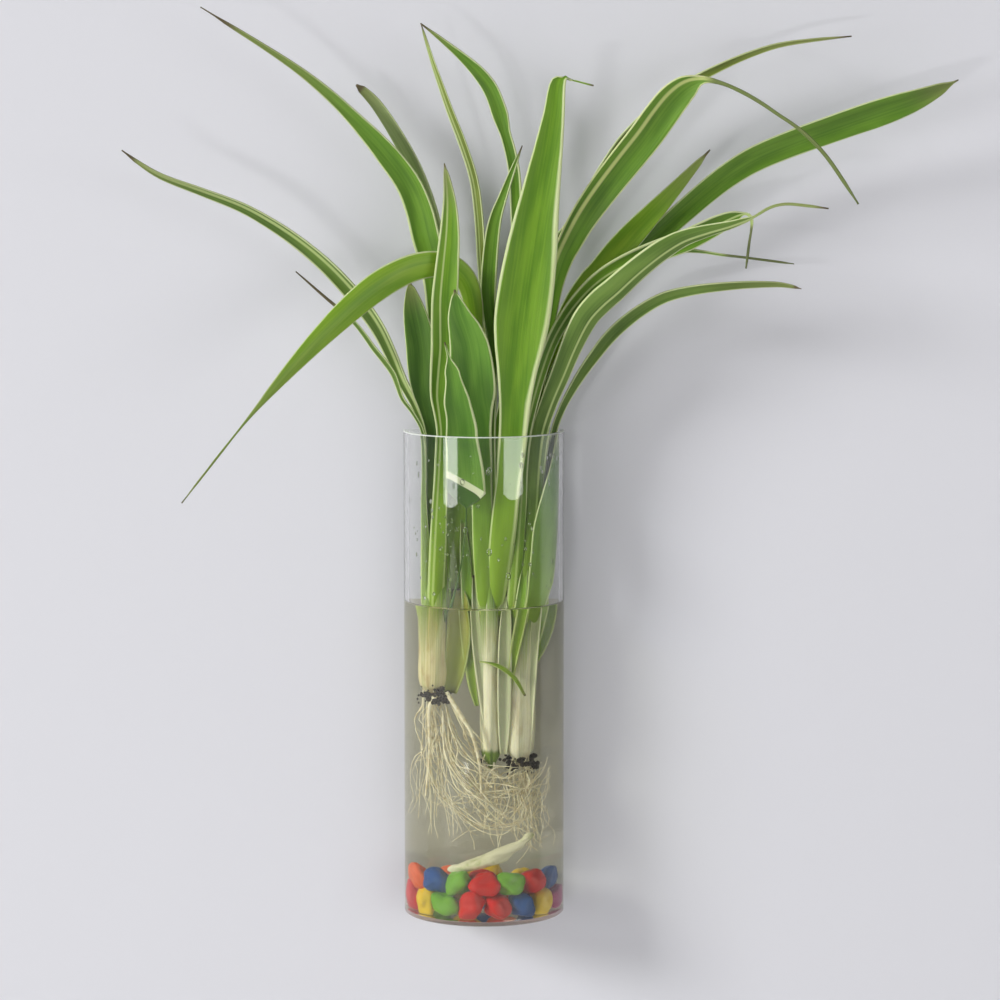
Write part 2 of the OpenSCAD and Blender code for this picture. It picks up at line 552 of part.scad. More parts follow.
adhesive_pad();
wall_plate();
stud();
front_shell();
back_plate();
base_plate();
bumper(-1);  // bumper_left
bumper(1);  // bumper_right
pebbles(RED);  // pebbles_red
pebbles(ORANGE);  // pebbles_orange
pebbles(YELLOW);  // pebbles_yellow
pebbles(GREEN);  // pebbles_green
pebbles(BLUE);  // pebbles_blue
pebbles(PURPLE);  // pebbles_purple
loose_sheath();
stem(LEFT);  // stem_left
stem(MIDDLE);  // stem_middle
stem(RIGHT);  // stem_right
roots(LEFT);  // roots_left
roots(MIDDLE);  // roots_middle
roots(RIGHT);  // roots_right
leaf(1);  // leaf_01
leaf(2);  // leaf_02
leaf(3);  // leaf_03
leaf(4);  // leaf_04
leaf(5);  // leaf_05
leaf(6);  // leaf_06
leaf(7);  // leaf_07
leaf(8);  // leaf_08
leaf(9);  // leaf_09
leaf(10);  // leaf_10
leaf(11);  // leaf_11
leaf(12);  // leaf_12
leaf(13);  // leaf_13
leaf(14);  // leaf_14
leaf(15);  // leaf_15
leaf(16);  // leaf_16
leaf(17);  // leaf_17
leaf(18);  // leaf_18
leaf(19);  // leaf_19
leaf(20);  // leaf_20
leaf(21);  // leaf_21
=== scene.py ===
"""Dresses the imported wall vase: clear acrylic, water, dyed pebbles and a variegated spider plant.

Every length is in metres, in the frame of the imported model: the wall is the plane of Y zero, the
room lies towards minus Y, and the stud that carries the vase is at height zero. Only the tables of
the plant are in millimetres.
"""

import logging
import math
import random
from dataclasses import dataclass, field
from enum import Enum
from typing import Callable, Iterable, Sequence, Union

import bmesh
import bpy
from mathutils import Matrix, Vector, noise


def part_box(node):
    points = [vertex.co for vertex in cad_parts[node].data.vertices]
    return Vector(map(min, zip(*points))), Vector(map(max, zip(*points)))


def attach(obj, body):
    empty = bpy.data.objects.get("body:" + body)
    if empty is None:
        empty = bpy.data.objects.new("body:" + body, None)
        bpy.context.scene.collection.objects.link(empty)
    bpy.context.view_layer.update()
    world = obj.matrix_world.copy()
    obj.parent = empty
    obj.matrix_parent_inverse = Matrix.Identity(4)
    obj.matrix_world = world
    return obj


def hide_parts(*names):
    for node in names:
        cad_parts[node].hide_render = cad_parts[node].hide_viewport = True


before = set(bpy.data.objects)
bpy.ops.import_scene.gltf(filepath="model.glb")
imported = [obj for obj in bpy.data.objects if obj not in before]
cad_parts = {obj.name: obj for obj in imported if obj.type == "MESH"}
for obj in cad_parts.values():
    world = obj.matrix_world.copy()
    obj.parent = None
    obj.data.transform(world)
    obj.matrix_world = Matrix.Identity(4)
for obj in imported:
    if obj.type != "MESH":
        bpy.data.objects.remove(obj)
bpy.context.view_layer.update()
LOG = logging.getLogger("wall_vase")

MM = 0.001
Colour = tuple[float, float, float, float]
Point = tuple[float, float, float]
Stops = Sequence[tuple[float, float]]
Value = Union["Field", float]
Material = bpy.types.Material
Mesh = bmesh.types.BMesh
Vert = bmesh.types.BMVert

HAIR = 1e-7  # points closer than this are one
WELD = 1e-6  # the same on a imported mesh, whose numbers are coarser
WAVE = 0.15 * MM  # how far the edges of a leaf wave
LEAF_SIDES = 6  # points round a packed leaf or root
STEM_SIDES = 8  # points round a packed stem


def paint(red: int, green: int, blue: int) -> Colour:
    """Turn a colour as seen on a screen into the linear one that a shader takes.

    Args:
        red: Red, from 0 to 255.
        green: Green, from 0 to 255.
        blue: Blue, from 0 to 255.

    Returns:
        The linear colour, opaque.
    """
    def linear(level: int) -> float:
        """Undo the screen's curve for one channel."""
        share = level / 255
        return share / 12.92 if share <= 0.04045 else ((share + 0.055) / 1.055) ** 2.4

    return (linear(red), linear(green), linear(blue), 1.0)


# Shader trees


def operator(kind: str, swapped: bool = False) -> Callable[..., "Field"]:
    """Make a method of Field that works one value out with a Math node.

    Args:
        kind: What the node does.
        swapped: Whether the other value comes first.

    Returns:
        The method.
    """
    def method(self: "Field", *others: Value) -> "Field":
        """Work the value out."""
        return self.bench.math(kind, *((*others, self) if swapped else (self, *others)))

    return method


class Field:
    """A socket of a shader tree that takes part in plain arithmetic."""

    def __init__(self, bench: "Bench", socket: bpy.types.NodeSocket) -> None:
        """Keep the socket and the tree that it belongs to."""
        self.bench, self.socket = bench, socket

    __add__ = __radd__ = operator("ADD")
    __sub__ = operator("SUBTRACT")
    __rsub__ = operator("SUBTRACT", swapped=True)
    __mul__ = __rmul__ = operator("MULTIPLY")
    __truediv__ = operator("DIVIDE")
    __pow__ = operator("POWER")
    __abs__ = operator("ABSOLUTE")
    smallest = operator("MINIMUM")
    largest = operator("MAXIMUM")


class Bench:
    """The shader tree of one material, to which nodes are added."""

    def __init__(self, name: str) -> None:
        """Start a material with an empty tree.

        Args:
            name: Name of the material.
        """
        self.material = bpy.data.materials.new(name)
        self.material.use_nodes = True
        self.tree = self.material.node_tree
        self.tree.nodes.clear()

    def node(self, kind: str, settings: dict | None = None,
             inputs: dict | None = None) -> bpy.types.Node:
        """Add a node, with its settings first and its sockets after them.

        Args:
            kind: Type of the node.
            settings: Its properties by name.
            inputs: A value, a field or a socket for each input, by name or number.

        Returns:
            The new node.
        """
        made = self.tree.nodes.new(kind)
        for key, value in (settings or {}).items():
            setattr(made, key, value)
        for key, value in (inputs or {}).items():
            socket = made.inputs[key]
            source = value.socket if isinstance(value, Field) else value
            if isinstance(source, bpy.types.NodeSocket):
                self.tree.links.new(source, socket)
            else:
                socket.default_value = source
        return made

    def out(self, made: bpy.types.Node, socket: str | int = 0) -> Field:
        """Wrap one output of a node."""
        return Field(self, made.outputs[socket])

    def math(self, operation: str, *operands: Value) -> Field:
        """Add a Math node on one to three values."""
        return self.out(self.node("ShaderNodeMath", {"operation": operation},
                                  dict(enumerate(operands))))

    def attribute(self, name: str) -> Field:
        """Read a number that the mesh keeps at each of its points."""
        return self.out(self.node("ShaderNodeAttribute", {"attribute_name": name}), "Fac")

    def place(self) -> Field:
        """Read the place on the piece, as a vector."""
        return self.out(self.node("ShaderNodeTexCoord"), "Object")

    def coordinates(self) -> tuple[Field, ...]:
        """Read the three coordinates of the place on the piece."""
        parts = self.node("ShaderNodeSeparateXYZ", None, {0: self.place()})
        return tuple(self.out(parts, axis) for axis in range(3))

    def vector(self, x: Value, y: Value, z: Value) -> Field:
        """Join three values into a vector."""
        return self.out(self.node("ShaderNodeCombineXYZ", None, {0: x, 1: y, 2: z}))

    def speckle(self, at: Field, scale: float, detail: float = 2.0,
                roughness: float = 0.5) -> Field:
        """Read soft noise from 0 to 1, with so many grains to a unit and so many finer layers."""
        return self.out(self.node("ShaderNodeTexNoise", {"noise_dimensions": "3D"}, {
            "Vector": at, "Scale": scale, "Detail": detail, "Roughness": roughness}))

    def rise(self, value: Field, low: float, high: float) -> Field:
        """Go smoothly from 0 to 1 as a value goes from low to high."""
        return self.out(self.node("ShaderNodeMapRange", {"interpolation_type": "SMOOTHSTEP"}, {
            "Value": value, "From Min": low, "From Max": high}))

    def blend(self, share: Value, first: "Field | Colour",
              second: "Field | Colour") -> Field:
        """Mix two colours; a share of 1 gives the second one."""
        return self.out(self.node("ShaderNodeMix", {"data_type": "RGBA"},
                                  {0: share, 6: first, 7: second}), 2)

    def bump(self, height: Field, depth: float, strength: float = 1.0) -> Field:
        """Turn a height from 0 to 1 into a normal; depth is the full height in metres."""
        return self.out(self.node("ShaderNodeBump", None, {
            "Height": height, "Distance": depth, "Strength": strength}))

    def surface(self, **sockets: "Field | float | Colour") -> Field:
        """Add the main shader, with its sockets named in words joined by underscores."""
        return self.out(self.node("ShaderNodeBsdfPrincipled", None, {
            key.replace("_", " "): value for key, value in sockets.items()}))

    def done(self, shader: Field) -> Material:
        """Send a shader to the output and hand the material over."""
        self.node("ShaderNodeOutputMaterial", None, {"Surface": shader})
        return self.material


# Finishes


@dataclass(frozen=True)
class Clear:
    """A clear body that lamps shine through, such as acrylic or water."""

    tint: Colour = (1.0, 1.0, 1.0, 1.0)
    shade: Colour = (0.97, 0.98, 0.98, 1.0)
    bend: float = 1.49

    def make(self, name: str) -> Material:
        """Build the material.

        Args:
            name: Name of the material.

        Returns:
            The material.
        """
        bench = Bench(name)
        body = bench.surface(Base_Color=self.tint, Roughness=0.0, IOR=self.bend,
                             Transmission_Weight=1.0)
        straight = bench.out(bench.node("ShaderNodeBsdfTransparent", None,
                                        {"Color": self.shade}))
        rays = bench.node("ShaderNodeLightPath")
        for kind in ("Is Diffuse Ray", "Is Shadow Ray"):
            body = bench.out(bench.node("ShaderNodeMixShader", None, {
                0: bench.out(rays, kind), 1: body, 2: straight}))
        return bench.done(body)


@dataclass(frozen=True)
class FrostedHighlight:
    """A sawn, flamed acrylic edge; its near-white is partly frost, partly painted highlight."""

    # Near white: partly the edge's own frost, partly the painted highlight of the rim's bright
    # line.
    milk: Colour = paint(250, 253, 248)

    def make(self, name: str) -> Material:
        """Build the material.

        Args:
            name: Name of the material.

        Returns:
            The material.
        """
        bench = Bench(name)
        grain = bench.speckle(bench.place(), 3000.0)
        return bench.done(bench.surface(
            Base_Color=self.milk, Roughness=0.25 + grain * 0.3, IOR=1.49,
            Transmission_Weight=0.3, Normal=bench.bump(grain, 0.03 * MM, 0.6)))


class Leafing(Enum):
    """The greens of the foliage, from a leaf in full light to an old one in the shade."""

    BRIGHT = ((112, 152, 38), (82, 124, 24))
    LIME = ((146, 182, 56), (112, 156, 34))
    FRESH = ((108, 148, 46), (76, 114, 28))
    DEEP = ((82, 118, 38), (52, 86, 22))
    SHADED = ((106, 150, 54), (76, 120, 36))
    DULL = ((106, 134, 58), (78, 106, 40))
    OLIVE = ((126, 142, 62), (94, 110, 36))
    PALE = ((156, 172, 118), (122, 142, 82))
    WILTED = ((156, 142, 84), (116, 112, 50))


@dataclass(frozen=True)
class BladeFinish:
    """A leaf's skin: a green middle with streaks, cream margins and a dry tip."""

    leafing: Leafing = Leafing.FRESH
    left_margin: float = 1.0
    right_margin: float = 1.0
    stripe: float = 0.0
    stripe_at: float = -0.3
    dry_from: float = 0.97
    tail_from: float = 0.8

    cream: Colour = paint(214, 220, 176)
    pale: Colour = paint(186, 202, 132)
    tail: Colour = paint(128, 136, 78)
    dry: Colour = paint(100, 90, 66)
    foot: Colour = paint(158, 186, 44)
    # Darker green painted below a crease, as the shade under its fold.
    painted_fold_shade: Colour = paint(58, 92, 34)
    crease: float = 0.0

    def margin(self, bench: Bench, near: Field, half: Field, wide: Field) -> Field:
        """Read how much of the cream margin shows at a place near an edge, in millimetres."""
        return 1 - bench.rise(near / wide.smallest(half * 340), 0.55, 1.25)

    def make(self, name: str) -> Material:
        """Build the material from the numbers that a blade's mesh keeps.

        Args:
            name: Name of the material.

        Returns:
            The material.
        """
        bench = Bench(name)
        across = bench.attribute("across")
        half = bench.attribute("half_width")
        along = bench.attribute("along")
        length = bench.attribute("length")
        over = across * half
        lines = bench.speckle(bench.vector(over * 1400, length * 9, 1.7), 1.0, 3.0, 0.6)
        clouds = bench.speckle(bench.vector(over * 160, length * 26, 5.1), 1.0, 2.0)
        light, deep = (paint(*tone) for tone in self.leafing.value)
        green = bench.blend(bench.rise(lines * 0.45 + clouds * 0.75, 0.42, 0.78), deep, light)
        green = bench.blend(bench.rise(abs(across), 0.15, 0.9) * 0.22, green, light)
        wander = (clouds - 0.5) * 0.9
        sway = bench.speckle(bench.vector(across * 0.4, length * 22, 8.3), 1.0, 1.0) * 1.1 + 0.4
        stray = (lines - 0.5) * 0.5 + wander * 0.3
        sway = sway * (1 - bench.rise(along, 0.5, 0.95) * 0.5)
        margin = self.margin(
            bench, (across + 1) * half * 1000 + stray, half, sway * self.left_margin).largest(
            self.margin(bench, (1 - across) * half * 1000 + stray, half,
                        sway * self.right_margin))
        skin = bench.blend(margin * 0.94, green, bench.blend(lines, self.cream, self.pale))
        if self.stripe:
            band = abs(over * 1000 - half * (self.stripe_at * 1000)) + wander * 0.3
            skin = bench.blend((1 - bench.rise(band, self.stripe * 0.2, self.stripe * 0.7)) * 0.8,
                               skin, self.pale)
        skin = bench.blend((1 - bench.rise(length, 0.01, 0.09)) * 0.45, skin, self.foot)
        skin = bench.blend(bench.rise(along, self.tail_from, 1.0) * 0.8, skin, self.tail)
        # A crease paints shade below its fold in darker green, with the cream of the folded margin
        # along it.
        if self.crease:
            slope = length + across * 4 * MM - self.crease
            skin = bench.blend((1 - bench.rise(slope, -0.3 * MM, 0.3 * MM)) * 0.85, skin,
                               self.painted_fold_shade)
            skin = bench.blend((1 - bench.rise(abs(slope), 1.4 * MM, 1.8 * MM)), skin, self.cream)
        dry = bench.rise(along + wander * 0.02, self.dry_from, min(1.0, self.dry_from + 0.025))
        skin = bench.blend(dry, skin, self.dry)
        return bench.done(bench.surface(
            Base_Color=skin, Roughness=0.36 + lines * 0.12 + dry * 0.3,
            Normal=bench.bump(lines, 0.12 * MM, 0.8), Subsurface_Weight=0.12,
            Subsurface_Radius=(0.4, 1.0, 0.2), Subsurface_Scale=0.6 * MM, IOR=1.42))


@dataclass(frozen=True)
class StemFinish:
    """A fleshy stem of leaf bases, white at its foot and green at its neck."""

    white: Colour = paint(250, 248, 224)
    milk: Colour = paint(242, 240, 208)
    green: Colour = paint(132, 162, 54)
    deep: Colour = paint(88, 124, 32)
    brown: Colour = paint(176, 146, 96)
    green_from: float = -0.056
    green_to: float = -0.018
    stain: float = 0.35
    stub_under: float = -0.2

    def make(self, name: str) -> Material:
        """Build the material.

        Args:
            name: Name of the material.

        Returns:
            The material.
        """
        bench = Bench(name)
        around = bench.attribute("around")
        x, y, z = bench.coordinates()
        lines = bench.speckle(bench.vector(around * 26, z * 30, 0.4), 1.0, 3.0, 0.6)
        patches = bench.speckle(bench.vector(x * 260, y * 260, z * 90), 1.0, 3.0)
        skin = bench.blend(bench.rise(lines, 0.4, 0.7), self.white, self.milk)
        height = bench.rise(z + (lines - 0.5) * 0.03, self.green_from, self.green_to)
        leafy = bench.blend(bench.rise(lines, 0.36, 0.62), self.deep, self.green)
        skin = bench.blend(height, skin, leafy)
        sheaths = bench.math("FRACT", around * 2.6 + z * 3.5 + (patches - 0.5) * 0.12)
        rim = 1 - bench.rise(abs(sheaths - 0.5), 0.02, 0.05)
        skin = bench.blend(rim * 0.7, skin, self.milk)
        skin = bench.blend(bench.rise(sheaths, 0.5, 0.95) * 0.3, skin, self.deep)
        stub = 1 - bench.rise(z + (lines - 0.5) * 0.004, self.stub_under - 0.002, self.stub_under)
        skin = bench.blend(stub, skin, leafy)
        stain = bench.rise(patches, 0.5, 0.72) * (1 - height) * self.stain
        skin = bench.blend(stain, skin, self.brown)
        return bench.done(bench.surface(
            Base_Color=skin, Roughness=0.4 + patches * 0.15,
            Normal=bench.bump(lines, 0.3 * MM, 0.8), Subsurface_Weight=0.3,
            Subsurface_Radius=(1.0, 0.9, 0.5), Subsurface_Scale=1.5 * MM, IOR=1.4))


@dataclass(frozen=True)
class RootFinish:
    """Cream roots with darker patches."""

    cream: Colour = paint(244, 238, 212)
    tan: Colour = paint(218, 204, 164)

    def make(self, name: str) -> Material:
        """Build the material.

        Args:
            name: Name of the material.

        Returns:
            The material.
        """
        bench = Bench(name)
        at = bench.place()
        patches = bench.speckle(at, 420.0, 3.0)
        fine = bench.speckle(at, 2600.0)
        return bench.done(bench.surface(
            Base_Color=bench.blend(bench.rise(patches, 0.42, 0.72), self.cream, self.tan),
            Roughness=0.5 + fine * 0.2, Normal=bench.bump(fine, 0.1 * MM, 0.6),
            Subsurface_Weight=0.2, Subsurface_Radius=(1.0, 0.8, 0.5), Subsurface_Scale=0.5 * MM))


@dataclass(frozen=True)
class Mottled:
    """An even matt or glossy stuff, a little uneven in colour, gloss and surface."""

    main: Colour
    other: Colour
    grain: float = 900.0
    roughness: float = 0.5
    depth: float = 0.1 * MM
    metal: float = 0.0
    edge: float = 0.35

    def make(self, name: str) -> Material:
        """Build the material.

        Args:
            name: Name of the material.

        Returns:
            The material.
        """
        bench = Bench(name)
        at = bench.place()
        coarse = bench.speckle(at, self.grain / 4, 3.0)
        fine = bench.speckle(at, self.grain, 3.0, 0.6)
        share = bench.rise(coarse * 0.6 + fine * 0.4, self.edge, self.edge + 0.3)
        return bench.done(bench.surface(
            Base_Color=bench.blend(share, self.main, self.other), Metallic=self.metal,
            Roughness=self.roughness - 0.08 + fine * 0.16,
            Normal=bench.bump(fine, self.depth, 0.7)))


@dataclass(frozen=True)
class Brushed:
    """Turned steel, with fine rings round the axis of the stud."""

    metal: Colour = paint(196, 196, 198)

    def make(self, name: str) -> Material:
        """Build the material.

        Args:
            name: Name of the material.

        Returns:
            The material.
        """
        bench = Bench(name)
        x, y, z = bench.coordinates()
        radius = (x * x + z * z) ** 0.5
        rings = bench.speckle(bench.vector(radius * 9000, y * 9000, 0.0), 1.0)
        return bench.done(bench.surface(
            Base_Color=bench.blend(rings * 0.4, self.metal, paint(150, 150, 154)), Metallic=1.0,
            Roughness=0.22 + rings * 0.16, Normal=bench.bump(rings, 0.01 * MM, 0.5)))


@dataclass(frozen=True)
class Plaster:
    """The painted wall, which is seen only from the room and lights what touches it."""

    colour: Colour = paint(219, 219, 224)
    touch: float = 0.6 * MM

    def make(self, name: str) -> Material:
        """Build the material.

        Args:
            name: Name of the material.

        Returns:
            The material.
        """
        bench = Bench(name)
        grain = bench.speckle(bench.place(), 240.0, 4.0)
        wall = bench.surface(Base_Color=self.colour, Roughness=0.9,
                             Normal=bench.bump(grain, 0.1 * MM, 0.3))
        hidden = bench.node("ShaderNodeBsdfTransparent")
        behind = bench.out(bench.node("ShaderNodeNewGeometry"), "Backfacing")
        ray = bench.out(bench.node("ShaderNodeLightPath"), "Ray Length")
        touching = bench.math("LESS_THAN", ray, self.touch)
        return bench.done(bench.out(bench.node("ShaderNodeMixShader", None, {
            0: behind.largest(touching), 1: wall, 2: bench.out(hidden)})))


# Mesh tools


def smooth_steps(bm: Mesh, sharpest: float = 40.0) -> None:
    """Shade a mesh smooth, except along its sharp edges.

    Args:
        bm: The mesh.
        sharpest: Angle in degrees from which an edge stays sharp.
    """
    for face in bm.faces:
        face.smooth = True
    for edge in bm.edges:
        if len(edge.link_faces) == 2:
            edge.smooth = edge.calc_face_angle(0.0) < math.radians(sharpest)


def put(name: str, data: bpy.types.ID) -> bpy.types.Object:
    """Put an object into the scene.

    Args:
        name: Name of the object.
        data: Its mesh, curve, lamp or lens.

    Returns:
        The object.
    """
    made = bpy.data.objects.new(name, data)
    bpy.context.scene.collection.objects.link(made)
    return made


def put_mesh(name: str, bm: Mesh, material: Material) -> bpy.types.Object:
    """Turn a bmesh into an object, and free it.

    Args:
        name: Name of the object.
        bm: Its mesh, in place.
        material: Its finish.

    Returns:
        The object.
    """
    mesh = bpy.data.meshes.new(name)
    bm.to_mesh(mesh)
    bm.free()
    mesh.materials.append(material)
    return put(name, mesh)


def make_piece(name: str, bm: Mesh, material: Material, body: str,
               stands_for: Iterable[str] = ()) -> bpy.types.Object:
    """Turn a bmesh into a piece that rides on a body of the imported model.

    Args:
        name: Name of the piece.
        bm: Its mesh, in place; it is freed.
        material: Its finish.
        body: The body that carries it.
        stands_for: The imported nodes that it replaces.

    Returns:
        The new object.
    """
    made = put_mesh(name, bm, material)
    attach(made, body)
    nodes = list(stands_for)
    if nodes:
        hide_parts(*nodes)
    LOG.info("%s: %d faces on %s", name, len(made.data.polygons), body)
    return made


def dress_node(node: str, material: Material) -> None:
    """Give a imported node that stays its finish.

    Args:
        node: The node.
        material: Its finish.
    """
    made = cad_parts[node]
    made.data.materials.clear()
    made.data.materials.append(material)
    LOG.info("%s: packed node, dressed", node)


def merged_copy(node: str) -> Mesh:
    """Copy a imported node's mesh and join its loose triangles.

    Args:
        node: The node.

    Returns:
        The copy.
    """
    bm = bmesh.new()
    bm.from_mesh(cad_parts[node].data)
    bmesh.ops.remove_doubles(bm, verts=bm.verts, dist=WELD)
    return bm


def unseen(vert: Vert, seen: set[Vert]) -> list[Vert]:
    """List the neighbours of a point that weren't seen yet, and note them as seen.

    Args:
        vert: The point.
        seen: The points seen so far.

    Returns:
        The neighbours.
    """
    others = [edge.other_vert(vert) for edge in vert.link_edges]
    found = [other for other in others if other not in seen]
    seen.update(found)
    return found


def islands(bm: Mesh) -> list[list[Vert]]:
    """Split a mesh into its separate solids.

    Args:
        bm: The mesh.

    Returns:
        The points of each solid.
    """
    found: list[list[Vert]] = []
    seen: set[Vert] = set()
    for start in bm.verts:
        if start in seen:
            continue
        group = [start]
        seen.add(start)
        for vert in group:
            group += unseen(vert, seen)
        found.append(group)
    return found


def rings_of(group: Sequence[Vert], sides: int,
             from_top: bool = False) -> list[list[Vector]]:
    """Read the rings of points of a swept solid, from one end to the other.

    Args:
        group: The points of the solid.
        sides: How many points a ring has.
        from_top: Whether the first ring is the highest one.

    Returns:
        The rings, each a list of places.
    """
    ordered = sorted(group, key=lambda vert: vert.co.z, reverse=from_top)
    ring = ordered[:sides]
    seen = set(ring)
    rings = []
    while ring:
        rings.append([vert.co.copy() for vert in ring])
        ring = [other for vert in ring for other in unseen(vert, seen)]
    return rings


def middle(points: Sequence[Vector]) -> Vector:
    """Average some places."""
    return sum(points, Vector()) / len(points)


def in_metres(points: Iterable[Point]) -> list[Vector]:
    """Turn places in millimetres into vectors in metres."""
    return [Vector(point) * MM for point in points]


def curve_at(points: Sequence[Vector], place: float) -> Vector:
    """Read a smooth curve through some places.

    Args:
        points: The places.
        place: Where to read it, counted in points.

    Returns:
        The place on the curve.
    """
    last = len(points) - 1
    k = max(0, min(int(place), last - 1))
    f = place - k
    b, c = points[k], points[k + 1]
    a = points[k - 1] if k > 0 else 2 * b - c
    d = points[k + 2] if k + 2 <= last else 2 * c - b
    return 0.5 * (2 * b + (c - a) * f + (2 * a - 5 * b + 4 * c - d) * f ** 2
                  + (3 * b - a - 3 * c + d) * f ** 3)


def ease(share: float) -> float:
    """Go smoothly from 0 to 1, and stay there."""
    share = min(1.0, max(0.0, share))
    return share * share * (3 - 2 * share)


def between(stops: Stops, place: float) -> float:
    """Read a value that goes smoothly from stop to stop.

    Args:
        stops: Places and values, in order.
        place: Where to read.

    Returns:
        The value.
    """
    for (near, low), (far, high) in zip(stops, stops[1:]):
        if place <= far:
            return low + (high - low) * ease((place - near) / (far - near))
    return stops[-1][1]


def half_turn(profile: Stops, axis: Vector, steps: int, closed: bool) -> Mesh:
    """Turn a profile half round an upright axis, towards the room, and close its ends.

    Args:
        profile: Radius and height of each point.
        axis: A point of the axis.
        steps: How many steps the half turn has.
        closed: Whether the profile's last point joins its first one.

    Returns:
        The solid.
    """
    bm = bmesh.new()
    verts = [bm.verts.new((axis.x + radius, axis.y, height)) for radius, height in profile]
    pairs = list(zip(verts, verts[1:])) + ([(verts[-1], verts[0])] if closed else [])
    edges = [bm.edges.new(pair) for pair in pairs]
    bmesh.ops.spin(bm, geom=verts + edges, cent=axis, axis=(0, 0, -1), angle=math.pi, steps=steps)
    bmesh.ops.remove_doubles(bm, verts=bm.verts, dist=HAIR)
    bmesh.ops.holes_fill(bm, edges=[edge for edge in bm.edges if edge.is_boundary], sides=0)
    bmesh.ops.recalc_face_normals(bm, faces=bm.faces)
    smooth_steps(bm)
    return bm


def tubes(name: str, strands: Sequence[Sequence[tuple[Vector, float]]]) -> Mesh:
    """Run a round tube along each of many strands.

    Args:
        name: Name of the curve that is swept.
        strands: Places and radii of each strand.

    Returns:
        The tubes as one mesh, with closed ends.
    """
    curve = bpy.data.curves.new(name, "CURVE")
    curve.dimensions = "3D"
    curve.bevel_depth = 1.0
    curve.bevel_resolution = 2
    curve.use_fill_caps = True
    for strand in strands:
        spline = curve.splines.new("POLY")
        spline.points.add(len(strand) - 1)
        for point, (at, radius) in zip(spline.points, strand):
            point.co = (*at, 1.0)
            point.radius = radius
    swept = put(name, curve)
    bpy.context.view_layer.update()
    mesh = bpy.data.meshes.new_from_object(swept)
    bm = bmesh.new()
    bm.from_mesh(mesh)
    bpy.data.objects.remove(swept)
    bpy.data.curves.remove(curve)
    bpy.data.meshes.remove(mesh)
    bmesh.ops.remove_doubles(bm, verts=bm.verts, dist=HAIR / 10)
    bmesh.ops.recalc_face_normals(bm, faces=bm.faces)
    smooth_steps(bm, 60.0)
    return bm


# The vase and what hangs it


@dataclass
class Hanging:
    """The pad, the wall plate and the stud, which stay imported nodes."""

    def build(self) -> None:
        """Dress the three nodes."""
        dress_node("adhesive_pad", Mottled(paint(226, 226, 222), paint(206, 206, 202), 2400.0,
                                           0.75, 0.15 * MM).make("pad_foam"))
        dress_node("wall_plate", Clear().make("plate_clear"))
        dress_node("stud", Brushed().make("stud_steel"))


